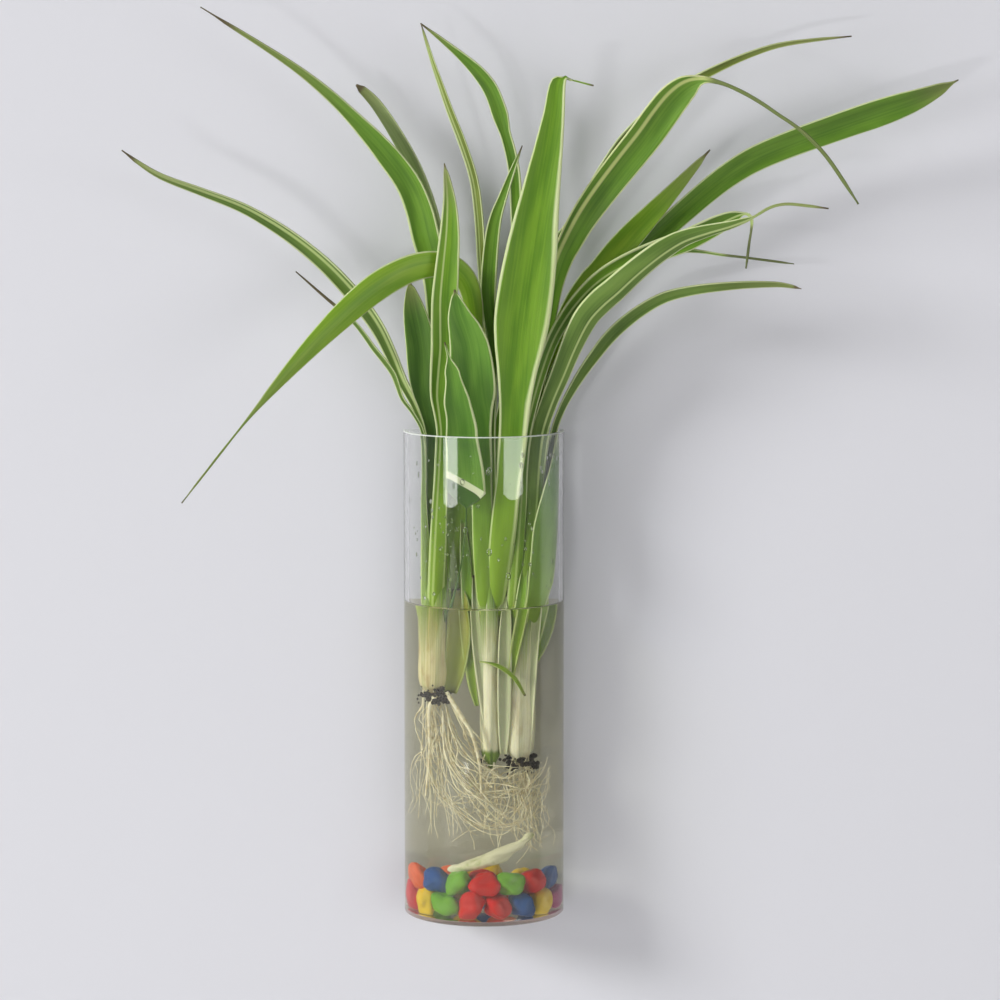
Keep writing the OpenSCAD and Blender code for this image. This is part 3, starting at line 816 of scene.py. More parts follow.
@dataclass
class Vessel:
    """The half round vase: a curved front, a flat back, a floor and two bumpers."""

    wall: float = 2 * MM
    lip: float = 0.4 * MM
    edge: float = 0.08 * MM
    glue: float = 0.03 * MM
    steps: int = 96
    shade: Colour = (0.95, 0.96, 0.96, 1.0)
    low: Vector = field(default_factory=lambda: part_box("front_shell")[0])
    high: Vector = field(default_factory=lambda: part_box("front_shell")[1])

    @property
    def radius(self) -> float:
        """Outer radius of the round front."""
        return (self.high.x - self.low.x) / 2

    @property
    def bore(self) -> float:
        """Inner radius of the round front."""
        return self.radius - self.wall

    @property
    def back(self) -> float:
        """Where the flat back's inner face lies."""
        return self.high.y

    @property
    def underside(self) -> float:
        """Height of the vase's underside."""
        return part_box("base_plate")[0].z

    def axis(self) -> Vector:
        """The axis of the round front."""
        return Vector(((self.low.x + self.high.x) / 2, self.back, 0))

    def inside(self, at: Vector, room: float = 1.2 * MM) -> Vector:
        """Keep a place inside the vase.

        Args:
            at: The place.
            room: How far off the walls it has to stay.

        Returns:
            The place, moved off the walls.
        """
        flat = (at - self.axis()) * Vector((1, 1, 0))
        if flat.length > self.bore - room:
            flat *= (self.bore - room) / flat.length
        return self.axis() + Vector((flat.x, min(flat.y, -room), at.z))

    def move_back(self, bm: Mesh, by: float) -> list[Vert]:
        """Move the points of a half turned solid that lie on the plane of its flat side.

        Args:
            bm: The solid.
            by: How far they move towards the wall.

        Returns:
            The points.
        """
        flat = [vert for vert in bm.verts if abs(vert.co.y - self.back) < HAIR]
        bmesh.ops.translate(bm, verts=flat, vec=(0, by, 0))
        return flat

    def front(self) -> Mesh:
        """Shape the curved front with its polished lip.

        Returns:
            The solid.
        """
        top, foot = self.high.z, self.low.z
        bm = half_turn([
            (self.bore, foot), (self.radius, foot), (self.radius, top - self.lip),
            (self.radius - self.lip, top), (self.bore + self.lip, top),
            (self.bore, top - self.lip)], self.axis(), self.steps, True)
        self.move_back(bm, -self.glue)
        return bm

    def floor(self) -> Mesh:
        """Shape the floor, with a small bevel round its lower edge.

        Returns:
            The solid.
        """
        top, foot = self.low.z - self.glue, self.underside
        bm = half_turn([(0, top), (self.radius, top), (self.radius, foot + self.lip),
                        (self.radius - self.lip, foot), (0, foot)], self.axis(), self.steps, False)
        self.move_back(bm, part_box("base_plate")[1].y - self.back)
        bmesh.ops.recalc_face_normals(bm, faces=bm.faces)
        return bm

    def back_lip(self) -> Mesh:
        """Shape a thin sheet on the flat back's top, a painted highlight on its polished edge.

        Returns:
            The solid.
        """
        low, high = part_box("back_plate")
        size = Vector((high.x - low.x, high.y - low.y, self.edge))
        bm = bmesh.new()
        bmesh.ops.create_cube(bm, size=1.0)
        bmesh.ops.scale(bm, verts=bm.verts, vec=size)
        bmesh.ops.translate(bm, verts=bm.verts, vec=(
            (low.x + high.x) / 2, (low.y + high.y) / 2, high.z + size.z / 4))
        return bm

    def build(self) -> None:
        """Build the clear pieces and dress the bumpers."""
        front = make_piece("vase_front", self.front(), Clear(shade=self.shade).make(
            "vase_clear"), "vessel", ["front_shell"])
        front.data.materials.append(FrostedHighlight().make("vase_lip"))
        # The lip's faces take the near-white edge: partly frost, partly a painted highlight.
        for face in front.data.polygons:
            if face.center.z > self.high.z - self.lip * 1.01 and abs(face.normal.z) > 0.3:
                face.material_index = 1
        # A painted highlight: a thin whitened sheet along the top edge of the flat back.
        make_piece("back_lip", self.back_lip(), FrostedHighlight().make("vase_back_lip"), "vessel")
        # The floor's pink tint is a painted reflection of the red pebbles in its edge.
        make_piece("vase_floor", self.floor(), Clear(
            paint(250, 228, 224), self.shade).make("vase_clear_floor"),
            "vessel", ["base_plate"])
        dress_node("back_plate", Clear(shade=(0.89, 0.9, 0.88, 1.0)).make("vase_clear_back"))
        rubber = Mottled(paint(206, 210, 212), paint(190, 196, 198), 1500.0, 0.45).make(
            "bumper_soft")
        for side in ("left", "right"):
            dress_node(f"bumper_{side}", rubber)


@dataclass
class Water:
    """The water column with its curved edge, and the drops left on the front above it.

    The drops keep off the water and the rim, over an arc counted in degrees round the front. A
    misted patch lies so many degrees round it and so many millimetres above the stud.
    """

    vessel: Vessel
    depth: float = 137 * MM
    overlap: float = 0.1 * MM
    climb: float = 1.1 * MM
    curl: float = 3.0 * MM
    climb_shares: Sequence[float] = (1.0, 0.55, 0.28, 0.12, 0.04, 0.0)
    drops: int = 90
    drop_sizes: Sequence[float] = tuple(r * MM for r in (0.25, 0.35, 0.45, 0.6, 0.8, 1.1))
    drop_flatness: float = 0.45
    drop_arc: tuple[float, float] = (18, 162)
    drop_room: tuple[float, float] = (4 * MM, 8 * MM)
    haze: int = 110
    haze_at: tuple[float, float] = (115, 8)
    haze_spread: tuple[float, float] = (6, 9)
    seed: int = 4

    @property
    def level(self) -> float:
        """Height of the surface."""
        return self.vessel.underside + self.depth

    def column(self) -> Mesh:
        """Shape the water, which reaches a hair into the walls so that light bends truly.

        Returns:
            The solid.
        """
        rim = self.vessel.bore + self.overlap
        foot = self.vessel.low.z - self.vessel.glue - self.overlap
        profile = [(0, foot), (rim, foot)]
        for share in self.climb_shares:
            profile.append((rim - (1 - share) ** 2 * self.curl, self.level + self.climb * share))
        profile.append((0, self.level))
        bm = half_turn(profile, self.vessel.axis(), self.vessel.steps, False)
        for vert in self.vessel.move_back(bm, self.overlap):
            if vert.co.z > self.level - WELD:
                vert.co.z = self.level + self.climb
        return bm

    def beads(self) -> Mesh:
        """Scatter drops over the inside of the round front, with a misted patch on its left.

        Returns:
            The drops.
        """
        chance = random.Random(self.seed)
        bm = bmesh.new()
        inside = self.vessel.bore
        for number in range(self.drops + self.haze):
            size = chance.choice(self.drop_sizes)
            turn = math.radians(chance.uniform(*self.drop_arc))
            high = chance.uniform(self.level + self.drop_room[0],
                                  self.vessel.high.z - self.drop_room[1])
            if number >= self.drops:
                size *= 0.5
                turn = math.radians(chance.gauss(self.haze_at[0], self.haze_spread[0]))
                high = chance.gauss(self.haze_at[1], self.haze_spread[1]) * MM
            drop = bmesh.ops.create_icosphere(bm, subdivisions=2, radius=size)["verts"]
            bmesh.ops.scale(bm, verts=drop,
                            vec=(1.0, self.drop_flatness, chance.uniform(1.0, 1.5)))
            bmesh.ops.rotate(bm, verts=drop, matrix=Matrix.Rotation(turn + math.pi / 2, 3, "Z"))
            bmesh.ops.translate(bm, verts=drop, vec=(
                math.cos(turn) * inside, self.vessel.back - math.sin(turn) * inside, high))
        smooth_steps(bm)
        return bm

    def build(self) -> None:
        """Build the water and its drops."""
        make_piece("water", self.column(), Clear(
            paint(233, 229, 207), (0.88, 0.87, 0.81, 1.0), 1.33).make("water"), "vessel")
        make_piece("water_drops", self.beads(), Clear(bend=1.33).make("water_drops"), "vessel")


class Dye(Enum):
    """Paints of the pebbles: the main colour and its worn one."""

    RED = ((206, 18, 10), (222, 52, 30))
    ORANGE = ((226, 92, 14), (238, 134, 40))
    YELLOW = ((232, 196, 10), (240, 216, 60))
    GREEN = ((104, 168, 22), (138, 188, 52))
    BLUE = ((10, 74, 146), (30, 106, 172))
    PURPLE = ((170, 60, 120), (196, 92, 148))


@dataclass
class Pebbles:
    """The dyed pebbles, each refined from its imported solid."""

    vessel: Vessel
    lumps: float = 2.0 * MM
    grit: float = 0.2 * MM
    stretch: float = 0.24
    room: float = 0.1 * MM

    def shape(self, node: str) -> Mesh:
        """Round a node's pebbles off and make each a little lumpy.

        Args:
            node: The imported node.

        Returns:
            The pebbles.
        """
        bm = merged_copy(node)
        bmesh.ops.subdivide_edges(bm, edges=bm.edges, cuts=3, use_grid_fill=True, smooth=0.6)
        bmesh.ops.smooth_vert(bm, verts=bm.verts, factor=0.5, use_axis_x=True,
                              use_axis_y=True, use_axis_z=True)
        for number, group in enumerate(islands(bm)):
            heart = middle([vert.co for vert in group])
            long_way = Vector((math.cos(number * 2.4), 0.4 * math.sin(number * 1.7),
                               0.7 * math.sin(number * 2.4))).normalized()
            for vert in group:
                arm = vert.co - heart
                out = arm.normalized()
                key = out * 1.1 + heart * 900 + Vector((number * 7.3, 0, 0))
                bulge = noise.noise(key) * self.lumps
                long = long_way * long_way.dot(arm)
                vert.co += long * (self.stretch * 1.4) - arm * (self.stretch * 0.4)
                vert.co += out * (bulge + self.lumps * 0.12 + noise.noise(key * 4) * self.grit)
                vert.co.z = max(vert.co.z, self.vessel.low.z + self.room / 2)
                vert.co = self.vessel.inside(vert.co, self.room)
        smooth_steps(bm, 80.0)
        return bm

    def build(self) -> None:
        """Build one piece for each colour."""
        for dye in Dye:
            colour = dye.name.lower()
            node, slot = f"pebbles_{colour}", f"pebble_{colour}"
            main, worn = (paint(*tone) for tone in dye.value)
            make_piece(f"dyed_{node}", self.shape(node), Mottled(
                main, worn, 1300.0, 0.34, 0.12 * MM, edge=0.5).make(slot), "vessel", [node])


@dataclass
class Sheath:
    """The loose leaf sheath, whose broad end leans on the pebbles and whose tip stands up."""

    swell: float = 0.75 * MM
    fibre: float = 1.1 * MM
    fibre_grain: Point = (45, 420, 420)
    lift: float = 4.0 * MM

    def build(self) -> None:
        """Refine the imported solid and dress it."""
        bm = merged_copy("loose_sheath")
        bmesh.ops.subdivide_edges(bm, edges=bm.edges, cuts=3, use_grid_fill=True, smooth=0.8)
        bm.normal_update()
        low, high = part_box("loose_sheath")
        for vert in bm.verts:
            key = Vector([place * grain for place, grain in zip(vert.co, self.fibre_grain)])
            share = (vert.co.x - low.x) / (high.x - low.x)
            full = self.swell * math.sin(math.pi * share)
            vert.co += vert.normal * (noise.noise(key) * self.fibre + full)
            vert.co.z += self.lift * ease((share - 0.1) / 0.5)
        smooth_steps(bm, 80.0)
        make_piece("wilted_sheath", bm, Mottled(
            paint(228, 226, 196), paint(182, 190, 130), 420.0, 0.5, 0.2 * MM, edge=0.45).make(
                "sheath_pale"), "vessel", ["loose_sheath"])


# The plant


Guide = tuple[Vector, Vector, Vector]
Strand = list[tuple[Vector, float]]


def strip(guides: Sequence[Guide], key: float, columns: int,
          keep: Callable[[int, Vector], Vector]) -> Mesh:
    """Bend a flat sheet along the rows of a strip and note on it what its skin reads.

    Args:
        guides: The left edge, the middle and the right edge at every row.
        key: A number that makes its waves differ from those of other strips.
        columns: How many faces it has across.
        keep: Moves a place of a row off a wall, where there is one.

    Returns:
        The sheet.
    """
    rows = len(guides) - 1
    reach = [0.0]
    for here, there in zip(guides, guides[1:]):
        reach.append(reach[-1] + (there[1] - here[1]).length)
    bm = bmesh.new()
    across, half, along, length = (bm.verts.layers.float.new(name) for name in (
        "across", "half_width", "along", "length"))
    bmesh.ops.create_grid(bm, x_segments=columns, y_segments=rows, size=1.0)
    for vert in bm.verts:
        row = round((vert.co.y + 1) / 2 * rows)
        t = vert.co.x
        left, centre, right = guides[row]
        side = (right - left) / 2
        sag = (left + right) / 2 - centre
        onward = guides[min(row + 1, rows)][1] - guides[max(row - 1, 0)][1]
        wave = WAVE * noise.noise(Vector((reach[row] * 55, t * 2.0, key)))
        at = centre + side * t + sag * t * t + side.cross(onward).normalized() * wave * abs(t)
        vert.co = keep(row, at)
        vert[across] = t
        vert[half] = side.length
        vert[along] = row / rows
        vert[length] = reach[row]
    bmesh.ops.recalc_face_normals(bm, faces=bm.faces)
    for face in bm.faces:
        face.smooth = True
    return bm


def thicken(made: bpy.types.Object, thickness: float) -> None:
    """Give a sheet its thickness.

    Args:
        made: The sheet.
        thickness: Its thickness.
    """
    skin = made.modifiers.new("thickness", "SOLIDIFY")
    skin.thickness = thickness
    skin.offset = 0.0
    skin.use_even_offset = True


@dataclass
class Blade:
    """One leaf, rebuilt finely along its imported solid, with a base that widens in the vase.

    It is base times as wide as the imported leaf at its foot, and swell times halfway up the vase,
    unless girth lists its widths by height, in millimetres. From foot to tip, form multiplies
    its width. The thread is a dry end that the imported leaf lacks.
    """

    number: int
    finish: BladeFinish
    base: float = 2.0
    swell: float = 1.15
    shift: Point = (0.0, 0.0, 0.0)
    girth: Stops = ()
    form: Stops = ((0.0, 1.0), (1.0, 1.0))
    tip: float = 0.25
    tip_from: float = 0.965
    open_at: float = 0.8
    thread: Sequence[Point] = ()
    thread_width: float = 0.6 * MM
    wrap: float = 0.55
    columns: int = 12
    rows_per_ring: int = 4
    thickness: float = 0.55 * MM
    room: float = 0.5 * MM

    @property
    def node(self) -> str:
        """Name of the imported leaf."""
        return f"leaf_{self.number:02d}"

    def packed(self) -> list[Guide]:
        """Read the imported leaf.

        Returns:
            The left edge, the middle and the right edge at every ring.
        """
        bm = merged_copy(self.node)
        found = []
        side = Vector((1, 0, 0))
        for ring in rings_of(list(bm.verts), LEAF_SIDES):
            ring.sort(key=side.dot)
            left, centre, right = (middle(ring[k:k + 2]) for k in (0, 2, 4))
            side = (right - left).normalized()
            found.append((left, centre, right))
        bm.free()
        half = Vector((0, 0, self.thread_width / 2))
        found += [(heart + half, heart, heart - half) for heart in in_metres(self.thread)]
        return found

    def rows(self, rim: float) -> tuple[list[Guide], int]:
        """Shape the rows of the blade.

        Args:
            rim: Height of the vase's rim.

        Returns:
            The rows, and how many of them lie in the vase.
        """
        lefts, centres, rights = zip(*self.packed())
        count = (len(centres) - 1) * self.rows_per_ring
        foot = centres[0].z
        found: list[Guide] = []
        in_vase = 0
        for row in range(count + 1):
            place = row / self.rows_per_ring
            left, centre, right = (curve_at(line, place) for line in (lefts, centres, rights))
            if in_vase == row and centre.z < rim:
                in_vase += 1
            rise = (centre.z - foot) / (rim - foot)
            up = rise if in_vase > row else 1.0
            hump = math.sin(math.pi * min(1.0, max(0.0, up)))
            closed = 1 - ease(up / self.open_at)
            wide = (1 + (self.base - 1) * closed + (self.swell - 1) * hump) \
                * (0.4 + 0.6 * ease(up / 0.14))
            if self.girth:
                wide = between(self.girth, rise) * MM / (right - left).length
            wide *= between(self.form, row / count)
            wide *= 1 - (1 - self.tip) * ease((row / count - self.tip_from) / (1 - self.tip_from))
            side = (right - left) / 2 * wide
            sag = ((left + right) / 2 - centre) * wide * (1 - closed) \
                + Vector((0, 1, 0)) * side.length * self.wrap * closed
            heart = centre + Vector(self.shift) * MM * hump
            found.append((heart - side + sag, heart, heart + side + sag))
        return found, in_vase

    def build(self, vessel: Vessel) -> None:
        """Build the blade.

        Args:
            vessel: The vase that it stands in.
        """
        rows, in_vase = self.rows(vessel.high.z)

        def keep(row: int, at: Vector) -> Vector:
            """Keep the part that stands in the vase off its walls."""
            return vessel.inside(at, self.room) if row < in_vase else at

        made = make_piece(
            f"blade_{self.number:02d}", strip(rows, self.number * 3.1, self.columns, keep),
            self.finish.make(f"{self.node}_skin"), "plant", [self.node])
        thicken(made, self.thickness)


@dataclass
class Wisp:
    """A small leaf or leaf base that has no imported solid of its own.

    Each stop is its middle across, out and up and its width, in millimetres, and, where it is
    turned about the upright, by how many degrees.
    """

    name: str
    finish: BladeFinish
    stops: Sequence[tuple[float, ...]]
    wrap: float = 0.3
    columns: int = 8
    rows_per_stop: int = 8
    thickness: float = 0.5 * MM
    room: float = 0.5 * MM

    def build(self, vessel: Vessel) -> None:
        """Build the wisp.

        Args:
            vessel: The vase that it stands in.
        """
        hearts = in_metres(stop[:3] for stop in self.stops)
        spans = [Vector((stop[3] * MM, math.radians(sum(stop[4:])), 0)) for stop in self.stops]
        rows: list[Guide] = []
        for row in range((len(hearts) - 1) * self.rows_per_stop + 1):
            place = row / self.rows_per_stop
            heart, span = curve_at(hearts, place), curve_at(spans, place)
            onward = curve_at(hearts, place + 0.2) - curve_at(hearts, place - 0.2)
            level = Vector((math.cos(span.y), math.sin(span.y), 0))
            across = (level - onward * (level.dot(onward) / onward.length_squared)).normalized()
            side = across * span.x / 2
            sag = across.cross(onward).normalized() * side.length * self.wrap
            rows.append((heart - side + sag, heart, heart + side + sag))
        sheet = strip(rows, len(self.name), self.columns,
                      lambda row, at: vessel.inside(at, self.room))
        made = make_piece(self.name, sheet, self.finish.make(f"{self.name}_skin"), "plant")
        thicken(made, self.thickness)


@dataclass
class Stem:
    """One fleshy stem with flutes, and a green neck of leaf bases above it."""

    side: str
    finish: StemFinish
    lean: tuple[float, float]
    stump: float = 1.0 * MM
    neck: float = 40 * MM
    neck_taper: float = 0.45
    flutes: tuple[int, int] = (4, 9)
    fluted_from: float = 20 * MM
    sides: int = 48
    rows: int = 60

    def build(self) -> None:
        """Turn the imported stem's rings into a fluted skin."""
        node = f"stem_{self.side}"
        copy = merged_copy(node)
        rings = rings_of(list(copy.verts), STEM_SIDES)
        copy.free()
        hearts = [middle(ring) for ring in rings]
        halves = [Vector((max(abs(p.x - h.x) for p in ring), max(abs(p.y - h.y) for p in ring), 0))
                  for ring, h in zip(rings, hearts)]
        bm = bmesh.new()
        around = bm.verts.layers.float.new("around")
        bmesh.ops.create_cone(bm, cap_ends=True, segments=self.sides, radius1=1, radius2=1,
                              depth=2)
        long_edges = [e for e in bm.edges if abs(e.verts[0].co.z - e.verts[1].co.z) > 1]
        bmesh.ops.subdivide_edges(bm, edges=long_edges, cuts=self.rows - 1)
        foot, top = hearts[0].z, hearts[-1].z
        for vert in bm.verts:
            share = (vert.co.z + 1) / 2
            turn = math.atan2(vert.co.y, vert.co.x)
            height = foot - self.stump + (top + self.neck - foot) * share
            on_stem = min(1.0, max(0.0, (height - foot) / (top - foot)))
            at = on_stem * (len(hearts) - 1)
            heart, half = curve_at(hearts, at), curve_at(halves, at)
            neck = max(0.0, (height - top) / self.neck)
            shrink = (1 - self.neck_taper * ease(neck)) * (0.5 + 0.5 * ease(share / 0.06))
            deep = 0.02 + 0.06 * ease(1 + (height - top) / self.fluted_from)
            flute = 1 + deep * math.cos(self.flutes[0] * turn + 60 * height) \
                + 0.4 * deep * math.cos(self.flutes[1] * turn - 90 * height)
            vert[around] = abs(turn) / math.pi
            vert.co = Vector((
                heart.x + self.lean[0] * MM * neck + math.cos(turn) * half.x * shrink * flute,
                heart.y + self.lean[1] * MM * neck + math.sin(turn) * half.y * shrink * flute,
                height))
        bmesh.ops.recalc_face_normals(bm, faces=bm.faces)
        smooth_steps(bm, 70.0)
        make_piece(f"leafy_{node}", bm, self.finish.make(f"leafy_{node}_flesh"), "plant",
                   [node])


@dataclass
class Roots:
    """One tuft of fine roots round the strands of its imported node, and the soil at its crown."""

    side: str
    finer: int
    seed: int
    extra: Sequence[Sequence[Point]] = ()
    extra_count: int = 0
    stout: Sequence[Sequence[Point]] = ()
    stout_radius: float = 1.1 * MM
    stout_steps: int = 6
    thick: tuple[float, float] = (0.36 * MM, 0.14 * MM)
    rooted: float = 1.5 * MM
    crumbs: int = 70
    crumb_size: tuple[float, float] = (0.4, 1.3)
    soil_at: Sequence[float] = (0.4, 1.5, 2.9, 4.3, 5.4)

    def wandering(self, line: Sequence[Vector], chance: random.Random, spread: float,
                  steps: int = 18) -> Strand:
        """Draw one fine root loosely along a line.

        Args:
            line: The places that it follows.
            chance: Source of its wandering.
            spread: How far it strays at its tip, in metres.
            steps: How many places it has.

        Returns:
            Its places and radii.
        """
        shift = Vector((chance.uniform(-1, 1), chance.uniform(-1, 1), chance.uniform(-0.4, 0.6)))
        key = chance.uniform(0, 90)
        from_r = self.thick[0] * chance.uniform(0.55, 1.1)
        found = []
        for step in range(steps + 1):
            share = step / steps
            at = curve_at(line, share * (len(line) - 1))
            at = at + shift * spread * share ** 1.2
            curl = Vector([noise.noise(Vector((share * 5 + key, k * 9.7, key))) for k in range(3)])
            at = at + curl * spread * 0.9 * ease(share * 2)
            found.append((at, from_r + (self.thick[1] - from_r) * share))
        return found

    def strands(self, chance: random.Random) -> list[Strand]:
        """Draw all the roots of the tuft.

        Args:
            chance: Source of their wandering.

        Returns:
            The places and radii of each.
        """
        copy = merged_copy(f"roots_{self.side}")
        found = []
        for group in islands(copy):
            line = [middle(ring) for ring in rings_of(group, LEAF_SIDES, from_top=True)]
            line[0] = line[0] + Vector((0, 0, self.rooted))
            found.append(self.wandering(line, chance, 0.6 * MM))
            found += [self.wandering(line, chance, chance.uniform(4, 12) * MM)
                      for _ in range(self.finer)]
        copy.free()
        for line in map(in_metres, self.extra):
            found += [self.wandering(line, chance, chance.uniform(2, 9) * MM, 30)
                      for _ in range(self.extra_count)]
        for line in map(in_metres, self.stout):
            last = len(line) * self.stout_steps
            found.append([
                (curve_at(line, step / self.stout_steps),
                 (1.0 - 0.75 * step / last) * self.stout_radius)
                for step in range(last - self.stout_steps + 1)])
        return found

    def soil(self, chance: random.Random) -> Mesh:
        """Scatter crumbs of soil round the foot of the stem.

        Args:
            chance: Source of their places and sizes.

        Returns:
            The crumbs.
        """
        low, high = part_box(f"stem_{self.side}")
        bm = bmesh.new()
        for _ in range(self.crumbs):
            size = (self.crumb_size[0] + self.crumb_size[1] * chance.random() ** 2) * MM
            crumb = bmesh.ops.create_icosphere(bm, subdivisions=1, radius=size)["verts"]
            for vert in crumb:
                vert.co *= 1 + 0.35 * noise.noise(vert.co * 900 + Vector((size * 1e5, 0, 0)))
            turn = chance.choice(self.soil_at) + chance.gauss(0, 0.3)
            wide = chance.uniform(0.3, 0.6)
            at = Vector(((low.x + high.x) / 2 + math.cos(turn) * (high.x - low.x) * wide,
                         (low.y + high.y) / 2 + math.sin(turn) * (high.y - low.y) * wide,
                         low.z + chance.gauss(-1.8, 1.9) * MM))
            bmesh.ops.translate(bm, verts=crumb, vec=at)
        return bm

    def build(self, vessel: Vessel) -> None:
        """Build the roots and the crumbs of soil.

        Args:
            vessel: The vase that they stand in.
        """
        chance = random.Random(self.seed)
        tuft = f"root_tuft_{self.side}"
        kept = [[(vessel.inside(at), radius) for at, radius in strand]
                for strand in self.strands(chance)]
        make_piece(tuft, tubes(tuft, kept), RootFinish().make(f"{tuft}_skin"), "plant",
                   [f"roots_{self.side}"])
        make_piece(f"soil_{tuft}", self.soil(chance), Mottled(
            paint(22, 17, 12), paint(46, 36, 24), 1200.0, 0.85, 0.3 * MM).make(f"soil_{tuft}"),
            "plant")


# The leaves, from left to right as they were counted
BLADES = [
    Blade(1, BladeFinish(Leafing.FRESH, 0.7, 0.6, dry_from=0.95, tail_from=0.72),
          form=[(0, 1), (0.7, 1), (0.8, 0.72), (0.92, 0.66), (1, 0.8)]),
    Blade(2, BladeFinish(Leafing.PALE, 0.2, 0.9, dry_from=0.95)),
    Blade(3, BladeFinish(Leafing.DULL, 0.4, 0.9, 1.6, 0.25, dry_from=0.95)),
    Blade(4, BladeFinish(Leafing.DULL, 0.4, 0.4, dry_from=0.84),
          form=[(0, 1), (0.5, 0.6), (1, 0.55)]),
    Blade(5, BladeFinish(Leafing.DEEP, 0.4, 0.7)),
    Blade(6, BladeFinish(Leafing.BRIGHT, 0.8, 0.9, 0.9, -0.35), 2.4),
    Blade(7, BladeFinish(Leafing.LIME, 0.5, 0.6, dry_from=0.985, tail_from=0.7)),
    Blade(8, BladeFinish(Leafing.SHADED, 0.6, 0.9, tail_from=0.95), 2.6, 1.0),
    Blade(9, BladeFinish(Leafing.SHADED, 0.5, 0.9, crease=64 * MM, tail_from=0.95),
          shift=(5.0, -1.0, 0.0),
          girth=[(0, 2.0), (0.2, 0.5), (0.63, 0.5), (0.665, 10.0), (0.71, 16.5),
                 (0.8, 16.0), (1.0, 13.6), (1.16, 11.4), (1.32, 6.5), (1.43, 0.6)]),
    Blade(10, BladeFinish(Leafing.OLIVE, 0.8, 0.4, 0.8, -0.3, tail_from=0.9),
          form=[(0, 1), (0.5, 0.8), (1, 0.85)]),
    Blade(11, BladeFinish(Leafing.FRESH, 0.4, 0.8, tail_from=0.9),
          form=[(0, 1), (0.5, 0.8), (0.69, 0.72), (0.75, 1.2), (0.84, 1.35), (1, 1)]),
    Blade(12, BladeFinish(Leafing.FRESH, 0.5, 0.8, tail_from=0.95)),
    Blade(13, BladeFinish(Leafing.BRIGHT, 0.9, 2.2, dry_from=0.975, tail_from=0.95), 2.6, 1.0,
          tip=0.4, thread=[(37.5, -46, 196.6), (42.0, -46.5, 195.5), (46.2, -47, 194.4)]),
    Blade(14, BladeFinish(Leafing.FRESH, 0.5, 0.4, 1.8, -0.45, dry_from=0.64, tail_from=0.55,
                          pale=paint(212, 220, 140), tail=paint(112, 128, 66),
                          dry=paint(108, 120, 70)), 2.0, 1.2),
    Blade(15, BladeFinish(Leafing.OLIVE, 0.8, 0.4)),
    Blade(16, BladeFinish(Leafing.LIME, 0.3, 0.3)),
    Blade(17, BladeFinish(Leafing.FRESH, 0.6, 0.4, dry_from=0.985, tail_from=0.88)),
    Blade(18, BladeFinish(Leafing.FRESH, 0.8, 0.5, 0.9, 0.1, dry_from=0.86,
                          dry=paint(104, 112, 72)),
          form=[(0, 1), (0.84, 1), (0.9, 0.6), (1, 0.6)]),
    Blade(19, BladeFinish(Leafing.DULL, 0.6, 0.5, 0.9, 0.35, dry_from=0.97, tail_from=0.66),
          2.2, 1.2, form=[(0, 1), (0.36, 1), (0.56, 0.66), (0.7, 0.5), (0.8, 0.7),
                          (1, 0.8)]),
    Blade(20, BladeFinish(Leafing.SHADED, 0.4, 0.4, dry_from=0.8, tail_from=0.6,
                          dry=paint(104, 112, 72)), 1.3, 1.6,
          form=[(0, 1), (0.72, 1), (0.84, 0.6), (1, 0.6)]),
    Blade(21, BladeFinish(Leafing.DULL, 0.6, 0.4, dry_from=0.95, tail_from=0.7), 1.2, 2.0)]

